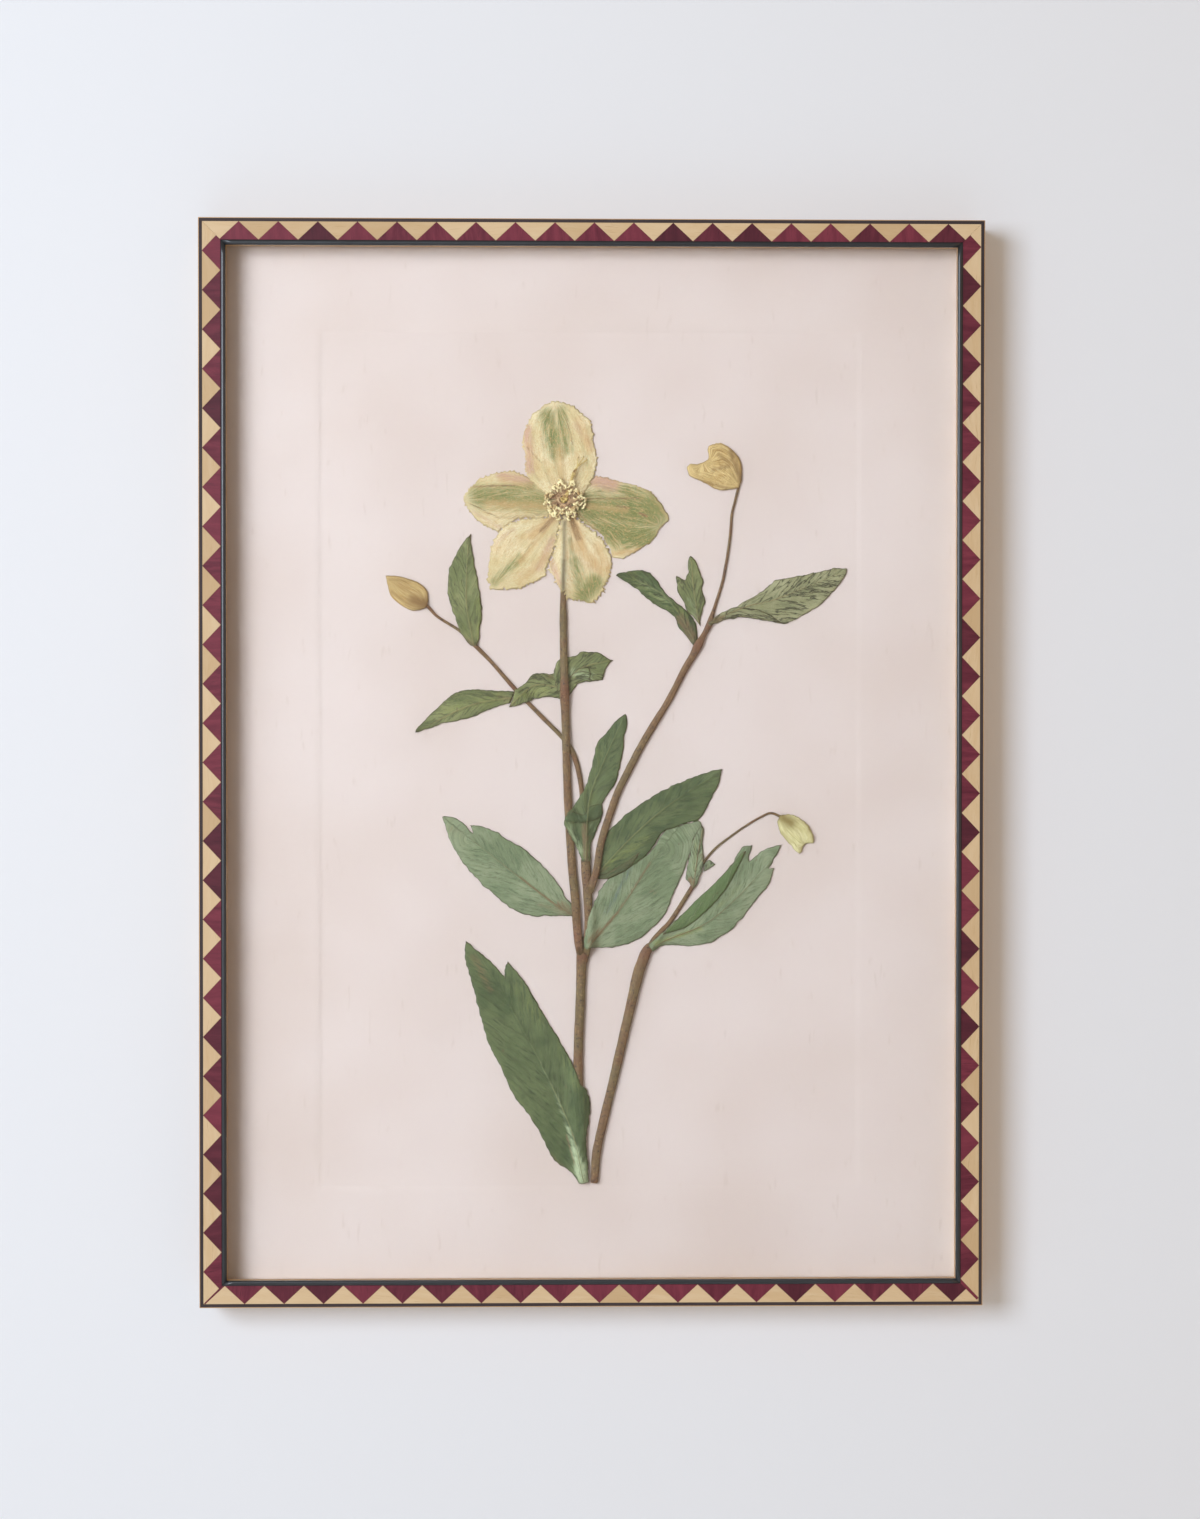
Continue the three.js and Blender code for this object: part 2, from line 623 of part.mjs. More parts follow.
function bud(name, { colour, edges }) {
  const rim = outlineThrough(edges).getPoints();
  const middle = rim.reduce((sum, point) => sum.add(point), new THREE.Vector2()).divideScalar(rim.length);
  const turn = THREE.ShapeUtils.isClockWise(rim) ? rim.reverse() : rim;
  const count = turn.length;
  const vertices = [];
  const faces = [];
  pillowLayers.forEach(([scale, share], k) => {
    turn.forEach((point, j) => {
      const { x, y } = middle.clone().lerp(point, scale);
      vertices.push(x, y, gap + share * budThickness);
      const [a, b] = [k * count + j, k * count + (j + 1) % count];
      if (k < pillowLayers.length - 1) faces.push(a, b, a + count, b, b + count, a + count);
    });
  });
  const [bottom, top] = [pillowLayers.length * count, pillowLayers.length * count + 1];
  vertices.push(middle.x, middle.y, gap, middle.x, middle.y, gap + budThickness);
  for (let j = 0; j < count; j += 1) {
    const next = (j + 1) % count;
    faces.push(bottom, next, j, top, bottom - count + j, bottom - count + next);
  }
  const geometry = new THREE.BufferGeometry();
  geometry.setAttribute('position', new THREE.Float32BufferAttribute(vertices, 3));
  geometry.setIndex(faces);
  geometry.computeVertexNormals();
  return piece(name, geometry, colour, 0.7);
}

// The heart of the flower: a ring that carries the stamens, and the carpels inside it
const flowerCentre = onPaper(563.5, 500);

// The ring slopes down from its inner rim to its outer one
function stamenRing() {
  const { inner, outer, ringDepth, back } = stamens;
  const section = [
    [inner, 0], [outer, 0], [outer, 0.5], [inner + 0.3, ringDepth], [inner, ringDepth - 0.2], [inner, 0],
  ];
  const points = section.map(([radius, height]) => new THREE.Vector2(radius, back + height));
  return new THREE.LatheGeometry(points, 20).rotateX(Math.PI / 2);
}

function stamenCluster() {
  const { count, inner, outer, reach, back, lift, filament, anther } = stamens;
  const parts = [stamenRing()];
  for (let i = 0; i < count; i += 1) {
    const turn = 2 * Math.PI * (i + 0.4 * scatter(i)) / count;
    const far = reach * (0.72 + 0.25 * scatter(i + 50));
    const root = new THREE.Vector3((inner + outer) / 2, 0, back + 0.4);
    const tip = new THREE.Vector3(far, 0, back + 0.5 + lift * Math.abs(scatter(i + 90)));
    const thread = new THREE.CylinderGeometry(filament, filament, tip.distanceTo(root), 3);
    thread.applyQuaternion(new THREE.Quaternion().setFromUnitVectors(
      new THREE.Vector3(0, 1, 0),
      tip.clone().sub(root).normalize(),
    ));
    const middle = tip.clone().add(root).multiplyScalar(0.5);
    const knob = new THREE.OctahedronGeometry(anther, 0).scale(1.1, 0.8, 0.7).translate(tip.x, 0, tip.z);
    parts.push(thread.translate(middle.x, 0, middle.z).rotateZ(turn), knob.rotateZ(turn));
  }
  return piece('stamens', fused(...parts).translate(flowerCentre.x, flowerCentre.y, 0), colours.stamen, 0.8);
}

function carpels() {
  const seat = new THREE.SphereGeometry(ovary.radius, ovary.sides, ovary.rings).scale(0.95, 0.95, 0.9);
  seat.translate(flowerCentre.x, flowerCentre.y, ovary.height);
  const tips = [[586.7, 460], [584, 457], [577.6, 457]];
  const styles = tips.map(([x, y], i) => pressedStem([
    [564 + i, 499, 3, 4.8], [568 + i / 2, 486, 2.4, 4.9], [573 + i, 470, 2, 3.6], [x, y, 1.4, 1.8],
  ], { flatness: 0.5, sides: 6 }));
  return piece('carpels', fused(seat, ...styles), colours.style, 0.7);
}

function specimen() {
  return [
    ...Object.entries(stems).map(([name, stations]) => piece(name, pressedStem(stations), colours.stem, 0.8)),
    ...Object.entries(leaves).map(([name, plan]) => leaf(name, plan)),
    ...Object.entries(sepals).map(([name, plan]) => sepal(name, plan)),
    ...Object.entries(buds).map(([name, plan]) => bud(name, plan)),
    stamenCluster(),
    carpels(),
  ];
}

// The whole frame, stood upright with its face towards -Y and the hanging notch at the origin
const upright = new THREE.Group();
upright.add(...frameFace(), ...filling(), ...backPoints(), sawtoothHanger(), ...specimen());
upright.rotation.x = Math.PI / 2;
upright.position.set(0, plateMiddle, -notch);

const part = new THREE.Group();
part.add(upright);

export default part;
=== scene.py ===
import math
import random
from functools import reduce

import bpy
import numpy as np
from mathutils import Euler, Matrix, Vector, geometry, noise


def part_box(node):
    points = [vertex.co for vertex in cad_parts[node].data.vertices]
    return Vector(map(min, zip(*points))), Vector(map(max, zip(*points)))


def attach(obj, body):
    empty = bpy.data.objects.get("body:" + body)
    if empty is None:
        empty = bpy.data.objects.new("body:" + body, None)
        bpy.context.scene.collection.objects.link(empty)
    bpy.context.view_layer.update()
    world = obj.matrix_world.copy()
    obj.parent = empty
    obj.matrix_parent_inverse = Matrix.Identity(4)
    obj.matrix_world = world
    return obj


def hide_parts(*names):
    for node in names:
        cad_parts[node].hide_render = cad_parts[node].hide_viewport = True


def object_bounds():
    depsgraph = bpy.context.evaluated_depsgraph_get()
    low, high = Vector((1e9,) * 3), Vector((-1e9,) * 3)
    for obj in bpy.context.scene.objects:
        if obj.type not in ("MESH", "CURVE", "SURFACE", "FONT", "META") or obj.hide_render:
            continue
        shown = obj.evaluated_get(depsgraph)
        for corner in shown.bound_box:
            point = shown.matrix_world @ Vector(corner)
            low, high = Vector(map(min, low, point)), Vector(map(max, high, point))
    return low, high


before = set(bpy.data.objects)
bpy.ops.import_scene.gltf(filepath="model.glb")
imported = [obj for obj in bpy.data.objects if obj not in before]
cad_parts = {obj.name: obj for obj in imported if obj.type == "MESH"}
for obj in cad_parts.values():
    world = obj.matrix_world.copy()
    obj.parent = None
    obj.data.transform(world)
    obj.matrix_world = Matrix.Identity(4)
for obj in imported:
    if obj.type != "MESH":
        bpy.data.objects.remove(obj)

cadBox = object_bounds()
mm = 0.001
random.seed(7)

# The sheet of paper carries everything that was pressed: its front is height 0
paperLow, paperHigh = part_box("mount_sheet")
paperFront = paperLow[1]
middleX = (paperLow[0] + paperHigh[0]) / 2
middleZ = (paperLow[2] + paperHigh[2]) / 2

# The plant was read in pixels of the 1200 x 1519 photograph, as in the CAD source
photo = {"scale": 0.4 * mm, "x": 591.4, "y": 763.2}


def onPaper(points):
    grid = np.asarray(points, dtype=float)
    u = (grid[..., 0] - photo["x"]) * photo["scale"]
    v = (photo["y"] - grid[..., 1]) * photo["scale"]
    return np.stack([u, v], axis=-1)


def standUp(u, v, height):
    return np.stack([middleX + u, paperFront - height, middleZ + v], axis=-1)


def stage(words):
    print("scene:", words, flush=True)


# Shader helpers
def rgb(red, green, blue):
    parts = [c / 255 for c in (red, green, blue)]
    linear = [c / 12.92 if c <= 0.04045 else ((c + 0.055) / 1.055) ** 2.4 for c in parts]
    return (*linear, 1.0)


class Shader:
    # One material and its nodes. The methods take sockets and plain numbers alike.
    def __init__(self, name):
        self.material = bpy.data.materials.new(name)
        self.material.use_nodes = True
        self.tree = self.material.node_tree
        self.surface = self.tree.nodes["Principled BSDF"]
        self.colour = None

    def add(self, kind, inputs=None, **settings):
        made = self.tree.nodes.new("ShaderNode" + kind)
        for key, value in settings.items():
            setattr(made, key, value)
        for key, value in (inputs or {}).items():
            if isinstance(value, bpy.types.NodeSocket):
                self.tree.links.new(value, made.inputs[key])
            else:
                made.inputs[key].default_value = value
        return made.outputs

    def place(self):
        return self.add("TexCoord")["Object"]

    def grown(self):
        # Runs along the piece and across it
        return self.add("UVMap", uv_map="Grown")[0]

    def held(self, key):
        # A number that the mesh holds at each of its points
        return self.add("Attribute", attribute_name=key)["Fac"]

    def maths(self, operation, a, b=0.0, clamp=False):
        return self.add("Math", {0: a, 1: b}, operation=operation, use_clamp=clamp)[0]

    def times(self, *values, clamp=False):
        return reduce(lambda a, b: self.maths("MULTIPLY", a, b, clamp), values)

    def plus(self, *values, clamp=False):
        return reduce(lambda a, b: self.maths("ADD", a, b, clamp), values)

    def offHalf(self, value):
        return self.maths("ABSOLUTE", self.maths("SUBTRACT", value, 0.5))

    def between(self, value, low, high, to=(0.0, 1.0)):
        inputs = {"Value": value, "From Min": low, "From Max": high, "To Min": to[0], "To Max": to[1]}
        return self.add("MapRange", inputs, interpolation_type="SMOOTHSTEP")[0]

    def grain(self, vector, scale, stretch=(1, 1, 1), detail=6.0, rough=0.6, twist=0.0):
        mapped = self.add("Mapping", {"Vector": vector, "Scale": stretch})[0]
        inputs = {"Vector": mapped, "Scale": scale, "Detail": detail, "Roughness": rough, "Distortion": twist}
        return self.add("TexNoise", inputs)["Fac"]

    def cells(self, vector, scale):
        inputs = {"Vector": vector, "Scale": scale}
        return self.add("TexVoronoi", inputs, feature="DISTANCE_TO_EDGE")["Distance"]

    def mix(self, share, a, b):
        return self.add("Mix", {0: share, 6: a, 7: b}, data_type="RGBA")[2]

    def base(self, source, low, high, first, second):
        self.colour = self.mix(self.between(source, low, high), rgb(*first), rgb(*second))

    def cover(self, colour, *masks):
        # Lays a colour over the ones before it, as far as the masks let it
        self.colour = self.mix(self.times(*masks), self.colour, rgb(*colour))

    def tint(self, colour, source, low, high, strength=1.0):
        self.cover(colour, self.between(source, low, high), strength)

    def stain(self, colour, key, streaks, full, gain):
        # A painted stain that frays along the streaks
        held = self.held(key)
        frayed = self.between(self.plus(self.times(held, 0.5), streaks), 0.58, full)
        self.cover(colour, frayed, self.times(held, gain, clamp=True))

    def set(self, values):
        for key, value in values.items():
            self.surface.inputs[key].default_value = value

    def finish(self, source, rough, relief, depth, strength, specular=0.5):
        # Roughness follows one of the noises. The relief is a bump, its depth in millimetres.
        raised = self.add("Bump", {"Height": relief, "Distance": depth * mm, "Strength": strength})
        rougher = self.between(source, 0.3, 0.7, rough)
        for socket, key in ((self.colour, "Base Color"), (rougher, "Roughness"), (raised[0], "Normal")):
            self.tree.links.new(socket, self.surface.inputs[key])
        self.set({"Specular IOR Level": specular})
        return self.material

    def openTo(self, share, colour=(1, 1, 1, 1)):
        clear = self.add("BsdfTransparent", {0: colour})[0]
        joined = self.add("MixShader", {0: share, 1: self.surface.outputs[0], 2: clear})[0]
        self.tree.links.new(joined, self.tree.nodes["Material Output"].inputs["Surface"])
        return self.material


# Shapes
def spline(points, step):
    # Catmull-Rom through the points, resampled at even steps
    rough = np.asarray(points, dtype=float)
    padded = np.concatenate([[2 * rough[0] - rough[1]], rough, [2 * rough[-1] - rough[-2]]])
    fine = []
    for k in range(len(rough) - 1):
        a, b, c, d = padded[k:k + 4]
        t = np.linspace(0, 1, 12, endpoint=False)[:, None]
        fine.append(0.5 * (2 * b + (c - a) * t + (2 * a - 5 * b + 4 * c - d) * t ** 2
                           + (3 * b - a - 3 * c + d) * t ** 3))
    fine = np.concatenate([*fine, [rough[-1]]])
    lengths = np.concatenate([[0], np.cumsum(np.linalg.norm(np.diff(fine, axis=0)[:, :2], axis=1))])
    count = max(2, int(round(lengths[-1] / step)) + 1)
    at = np.linspace(0, lengths[-1], count)
    return np.stack([np.interp(at, lengths, fine[:, i]) for i in range(fine.shape[1])], axis=1)


def drawn(numbers):
    # A run of photo pixels, written x, y, x, y and so on
    return onPaper(np.reshape(numbers, (-1, 2)))


def closedOutline(edges, step):
    # Each edge is a smooth run that begins at the corner where the one before it ended
    corner = edges[-1][-2:]
    rim = []
    for edge in edges:
        rim.append(spline(drawn([*corner, *edge]), step)[:-1])
        corner = edge[-2:]
    return np.concatenate(rim)


def ragged(rim, amount, size, seed):
    # Moves the outline in and out a little, as a dried edge is
    ahead = np.roll(rim, -1, axis=0) - np.roll(rim, 1, axis=0)
    normal = np.stack([ahead[:, 1], -ahead[:, 0]], axis=1)
    normal /= np.linalg.norm(normal, axis=1)[:, None] + 1e-12
    shift = [noise.fractal(Vector((u / size, v / size, seed)), 0.8, 2.0, 3) for u, v in rim]
    return rim + normal * (np.array(shift) * amount)[:, None]


def insideOf(rim, points):
    x, y = points[:, 0][:, None], points[:, 1][:, None]
    ax, ay = rim[:, 0][None], rim[:, 1][None]
    bx, by = np.roll(rim[:, 0], -1)[None], np.roll(rim[:, 1], -1)[None]
    crosses = ((ay > y) != (by > y)) & (x < (bx - ax) * (y - ay) / (by - ay + 1e-15) + ax)
    return crosses.sum(axis=1) % 2 == 1


def rimDistance(rim, points):
    a, b = rim[None], np.roll(rim, -1, axis=0)[None]
    run = b - a
    t = ((points[:, None] - a) * run).sum(-1) / ((run ** 2).sum(-1) + 1e-18)
    nearest = a + run * np.clip(t, 0, 1)[..., None]
    return np.sqrt(((points[:, None] - nearest) ** 2).sum(-1).min(axis=1))


def alongLine(line, points):
    # How far along a line each point lies, and how far to its left or right
    steps = np.diff(line, axis=0)
    lengths = np.concatenate([[0], np.cumsum(np.linalg.norm(steps, axis=1))])
    t = ((points[:, None] - line[None, :-1]) * steps[None]).sum(-1) / (steps ** 2).sum(-1)[None]
    held = np.clip(t, 0, 1)
    foot = line[None, :-1] + steps[None] * held[..., None]
    gaps = np.linalg.norm(points[:, None] - foot, axis=-1)
    best = gaps.argmin(axis=1)
    rows = np.arange(len(points))
    way = steps[best] / np.linalg.norm(steps[best], axis=1)[:, None]
    off = points - foot[rows, best]
    side = way[:, 0] * off[:, 1] - way[:, 1] * off[:, 0]
    along = lengths[best] + held[rows, best] * np.linalg.norm(steps[best], axis=1)
    return along, np.sign(side) * gaps[rows, best]


def roughness(points, size, seed, octaves=3):
    return np.array([noise.fractal(Vector((u / size, v / size, seed)), 0.9, 2.0, octaves) for u, v in points])


def buildObject(name, vertices, faces, material, uv=None, attributes=None):
    mesh = bpy.data.meshes.new(name)
    mesh.from_pydata([tuple(v) for v in vertices], [], faces)
    mesh.validate()
    for m in material if isinstance(material, list) else [material]:
        mesh.materials.append(m)
    if uv is not None:
        layer = mesh.uv_layers.new(name="Grown")
        corners = np.empty(len(mesh.loops), dtype=np.int32)
        mesh.loops.foreach_get("vertex_index", corners)
        layer.data.foreach_set("uv", np.asarray(uv, dtype=np.float32)[corners].ravel())
    for key, values in (attributes or {}).items():
        held = mesh.attributes.new(key, "FLOAT", "POINT")
        held.data.foreach_set("value", np.asarray(values, dtype=np.float32))
    mesh.shade_smooth()
    mesh.update()
    made = bpy.data.objects.new(name, mesh)
    bpy.context.scene.collection.objects.link(made)
    return made


def ringFaces(rings, sides, start=0):
    # Joins a run of rings of so many points each, and closes both ends
    faces = []
    for k in range(rings - 1):
        for j in range(sides):
            a, b = start + k * sides + j, start + k * sides + (j + 1) % sides
            faces.append((a, b, b + sides, a + sides))
    faces.append(tuple(start + j for j in reversed(range(sides))))
    faces.append(tuple(start + (rings - 1) * sides + j for j in range(sides)))
    return faces


def hand(piece, slot, *nodes):
    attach(piece, "root")
    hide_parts(*nodes)
    return piece


def layer(rim, spacing, rib, surfaces):
    # A thin closed layer inside the rim. surfaces() gives the front and back heights of its points.
    low, high = rim.min(axis=0), rim.max(axis=0)
    columns, rows = (np.arange(low[i], high[i], spacing * pitch) for i, pitch in ((0, 1), (1, 0.87)))
    grid = np.array([[x + (k % 2) * spacing / 2, y] for k, y in enumerate(rows) for x in columns])
    grid = grid[insideOf(rim, grid)]
    if len(grid):
        grid = grid[rimDistance(rim, grid) > 0.6 * spacing]
    points = np.concatenate([rim, grid]) if len(grid) else rim
    out = geometry.delaunay_2d_cdt([Vector(p) for p in points], [], [list(range(len(rim)))], 1, 1e-9)
    flat = np.array([tuple(v) for v in out[0]])
    faces = []
    for face in out[2]:
        (ax, ay), (bx, by), (cx, cy) = flat[list(face)]
        turn = (bx - ax) * (cy - ay) - (by - ay) * (cx - ax)
        if abs(turn) > 1e-14:
            faces.append(tuple(face) if turn > 0 else tuple(reversed(face)))
    edge = rimDistance(rim, flat)
    along, across = alongLine(rib, flat)
    front, back = surfaces(flat, edge, along, across)
    seen = dict.fromkeys(pair for a, b, c in faces for pair in ((a, b), (b, c), (c, a)))
    count = len(flat)
    walls = [(a, a + count, b + count, b) for a, b in seen if (b, a) not in seen]
    made = {"faces": faces + [(c + count, b + count, a + count) for a, b, c in faces] + walls, "front": front}
    made["vertices"] = np.concatenate([standUp(flat[:, 0], flat[:, 1], height) for height in (front, back)])
    uv = np.stack([along * 10, 0.5 + sideShare(across, edge) / 2], axis=1)
    for key, values in (("uv", uv), ("edge", edge), ("across", across), ("flat", flat)):
        made[key] = np.concatenate([values, values])
    return made


def joinLayers(name, layers, material, keys):
    faces, start = [], 0
    for part in layers:
        faces += [tuple(i + start for i in face) for face in part["faces"]]
        start += len(part["vertices"])
    vertices, uv = (np.concatenate([part[key] for part in layers]) for key in ("vertices", "uv"))
    attributes = {key: np.concatenate([part[key] for part in layers]) for key in keys}
    return buildObject(name, vertices, faces, material, uv, attributes)


# How high things lie on the sheet so far, on an even grid. Each piece drapes over what it meets.
press = {"cell": 0.4 * mm, "left": -88 * mm, "bottom": -174 * mm, "columns": 486, "rows": 810, "bend": 36}
pile = np.zeros((press["rows"], press["columns"]))


def gridWindow(points, margin=2.4 * mm):
    low = ((points.min(axis=0) - margin - (press["left"], press["bottom"])) / press["cell"]).astype(int)
    high = ((points.max(axis=0) + margin - (press["left"], press["bottom"])) / press["cell"]).astype(int)
    return tuple(slice(max(low[i], 0), min(high[i], press[key])) for i, key in ((1, "rows"), (0, "columns")))


def gridPoints(window):
    rows, columns = np.mgrid[window[0], window[1]]
    u = press["left"] + (columns + 0.5) * press["cell"]
    v = press["bottom"] + (rows + 0.5) * press["cell"]
    return np.stack([u, v], axis=-1)


def soften(field):
    padded = np.pad(field, 1, mode="edge")
    padded = (padded[:-2] + 2 * padded[1:-1] + padded[2:]) / 4
    return (padded[:, :-2] + 2 * padded[:, 1:-1] + padded[:, 2:]) / 4


def drapeOver(rim):
    # The soft sheet that lies on whatever is inside the rim, as a window of the pile and its height there
    window = gridWindow(rim)
    cells = gridPoints(window)
    covered = insideOf(rim[::2], cells.reshape(-1, 2)).reshape(cells.shape[:2])
    under = np.where(covered, pile[window], 0)
    over = under.copy()
    for _ in range(press["bend"]):
        over = np.maximum(under, soften(over))
    return window, over


def sideShare(across, edge):
    # From -1 at one margin through 0 at the rib to 1 at the other
    return across / (np.abs(across) + edge + 1e-6)


def cockled(points, look, seed, shift, crumple=1.0):
    # Broad waves with finer ones on them, in millimetres
    broad, fine, share, base = look["waves"]
    wave = roughness(points, broad * mm, seed) + share * roughness(points, fine * mm, seed + shift)
    return look["cockle"] * np.maximum(crumple * wave + base, 0)


def curlUp(points, edge, look, seed):
    # The margin curls up, more in some places than in others
    height, width, size, often = look["curl"]
    share = np.clip(often + roughness(points, size * mm, seed), 0, 1)
    return height * mm * np.exp(-edge / (width * mm)) * share


def sampled(window, field, points):
    x = (points[:, 0] - press["left"]) / press["cell"] - 0.5 - window[1].start
    y = (points[:, 1] - press["bottom"]) / press["cell"] - 0.5 - window[0].start
    x = np.clip(x, 0, field.shape[1] - 1.001)
    y = np.clip(y, 0, field.shape[0] - 1.001)
    i, j = x.astype(int), y.astype(int)
    fx, fy = x - i, y - j
    lower = field[j, i] * (1 - fx) + field[j, i + 1] * fx
    upper = field[j + 1, i] * (1 - fx) + field[j + 1, i + 1] * fx
    return lower * (1 - fy) + upper * fy


def settle(points, tops):
    # Whatever comes next lies on these points
    columns = ((points[:, 0] - press["left"]) / press["cell"]).astype(int)
    rows = ((points[:, 1] - press["bottom"]) / press["cell"]).astype(int)
    for up in (-1, 0, 1):
        for right in (-1, 0, 1):
            np.maximum.at(pile, (rows + up, columns + right), tops)


def painted(points, strokes):
    # Soft brush strokes, each from one photo pixel to another: [x, y, x, y, radius, strength]
    mask = np.zeros(len(points))
    for ax, ay, bx, by, radius, strength in strokes:
        a, b = onPaper([ax, ay]), onPaper([bx, by])
        run = b - a
        t = np.clip(((points - a) @ run) / (run @ run + 1e-12), 0, 1)
        gap = np.linalg.norm(points - a - t[:, None] * run, axis=1)
        mask = np.maximum(mask, strength * np.exp(-(gap / (radius * photo["scale"])) ** 2))
    return mask


# Stems
stemLook = {
    "brown": (114, 81, 50), "olive": (108, 89, 54), "red": (114, 70, 47), "pale": (152, 124, 84),
    "dark": (64, 44, 30), "flatness": 0.5, "bulge": 0.05, "ridge": 0.05, "end": 0.72,
    "sides": 22, "step": 0.8, "touch": 0.02, "bridge": 40,
}

stems = {
    "main_stem": {
        "nodes": [[582, 951, 10]],
        "line": [
            [582.4, 1183, 9], [580, 1140, 9], [578, 1082, 9.4], [578, 1048, 9.2], [580, 998, 9.2],
            [581, 965, 10.2], [582.3, 954, 12.6], [582.8, 947, 14], [582.9, 941, 10], [583, 936, 4],
        ],
    },
    "side_stem": {
        "nodes": [[645, 951, 9], [594, 1183, 14]],
        "line": [
            [594, 1183, 8.4], [596.5, 1152, 8.6], [603.5, 1119, 8.7], [613, 1080, 8.8], [629.3, 1010, 9.8],
            [637.2, 976, 11.2], [642, 961, 10.8], [646, 951, 10.4], [651, 944.5, 8.6],
        ],
    },
    "side_branch": {
        "sunk": 3,
        "nodes": [[693, 886, 6]],
        "line": [
            [650, 946, 6.4], [655, 938, 6], [662, 930, 5], [672, 918, 4.2], [691.5, 887, 4.2],
            [698, 873, 3], [704, 861, 2.6], [715, 848, 2.2], [729, 837, 2], [746, 825, 2],
            [761.6, 816, 2.1], [771, 812.6, 2.3], [782, 817, 2.8],
        ],
    },
    "left_branch": {
        "nodes": [[474, 645, 7], [512, 688, 7], [428, 605, 6]],
        "line": [
            [423, 602, 3.6], [430, 609, 3.2], [438, 617, 2.8], [460, 631, 3], [474.5, 645, 4.2],
            [493, 664, 3.6], [514, 688, 4.2], [540, 715, 4], [560, 735, 4.2], [569, 746, 4.8],
            [574.5, 758, 5.4], [578.5, 773, 5], [581.5, 795, 4.6], [584.5, 851, 4.8],
        ],
    },
    "middle_stem": {
        "sunk": 7,
        "nodes": [[588, 880, 12]],
        "line": [
            [584, 964, 5], [585.5, 955, 6.5], [587, 944, 7.8], [588, 920, 7.8], [587.4, 896, 9],
            [586, 874, 9.6], [585, 857, 9],
        ],
    },
    "flower_stem": {
        "sunk": 7,
        "nodes": [[564, 688, 10], [578, 940, 12]],
        "line": [
            [581, 964, 5], [580, 955, 6.8], [578.2, 944, 8], [576.5, 925, 8.4], [574.5, 895, 8.6],
            [571.5, 865, 8.4], [568, 810, 8], [566, 760, 7.8], [565, 720, 8], [564.2, 694, 9.6],
            [563.8, 678, 8.2], [563, 645, 7.4], [562.6, 612, 7], [562.6, 598, 5.6], [563.3, 560, 4.4],
            [563.6, 531, 3.8], [563.7, 520, 3],
        ],
    },
    "right_branch": {
        "sunk": 3,
        "nodes": [[696, 646, 8], [708, 624, 7], [594, 876, 12]],
        "line": [
            [589, 893, 6.5], [593, 880, 7.6], [596.5, 867, 7.2], [600, 845, 7.3], [605, 827, 7.3],
            [611, 809, 7.3], [618, 790, 7.2], [628, 770, 7.2], [639, 748.5, 7.2], [652, 726, 7],
            [668, 700, 6.4], [683.5, 670, 6.8], [692.4, 655, 7.2], [697.4, 645, 8.4], [703.5, 634, 5.4],
            [709, 623, 6.2], [712.3, 612, 3.8], [716.2, 600, 3], [723, 576.5, 2.9], [729, 540, 2.7],
            [731, 515, 2.5], [734, 502, 2.4], [738.4, 484, 2.8],
        ],
    },
}


def stemMaterial():
    skin = Shader("stem")
    place = skin.place()
    streaks = skin.grain(skin.grown(), 9, (1.0, 5.0, 1.0), detail=8, rough=0.7)
    specks = skin.grain(place, 1000, detail=3, rough=0.7)
    skin.base(skin.grain(place, 60, detail=3), 0.36, 0.64, stemLook["brown"], stemLook["olive"])
    skin.tint(stemLook["pale"], streaks, 0.5, 0.68, 0.8)
    skin.tint(stemLook["dark"], streaks, 0.46, 0.34, 0.65)
    # Red at the nodes, and in patches along the stem
    patches = skin.between(skin.grain(place, 130), 0.5, 0.66)
    red = skin.plus(skin.times(skin.held("node"), 0.6), skin.times(patches, 0.4), clamp=True)
    skin.cover(stemLook["red"], red)
    skin.tint(stemLook["dark"], specks, 0.45, 0.34)
    skin.tint(stemLook["pale"], specks, 0.58, 0.66, 0.6)
    return skin.finish(specks, (0.5, 0.75), skin.plus(streaks, skin.times(specks, 0.4)), 0.2, 0.8, 0.35)


def stemHeights(line, sunk):
    # A stem bridges what it crosses in a soft curve. Its first stretch may be sunk in the stem that bears it.
    under = []
    for k, (u, v, width) in enumerate(line):
        ahead = line[min(k + 1, len(line) - 1), :2] - line[max(k - 1, 0), :2]
        side = np.array([-ahead[1], ahead[0]]) / np.linalg.norm(ahead)
        spots = np.array([[u, v] + side * width * share for share in (-0.45, -0.2, 0, 0.2, 0.45)])
        under.append(sampled((slice(0, 1), slice(0, 1)), pile, spots).max())
    under = np.array(under)
    under[:int(sunk / stemLook["step"])] = 0
    over = under.copy()
    for _ in range(stemLook["bridge"]):
        wide = np.pad(over, 1, mode="edge")
        over = np.maximum(under, (wide[:-2] + 2 * wide[1:-1] + wide[2:]) / 4)
    if sunk:
        over *= np.clip(np.arange(len(over)) * stemLook["step"] / sunk, 0.1, 1)
    return over + stemLook["touch"] * mm


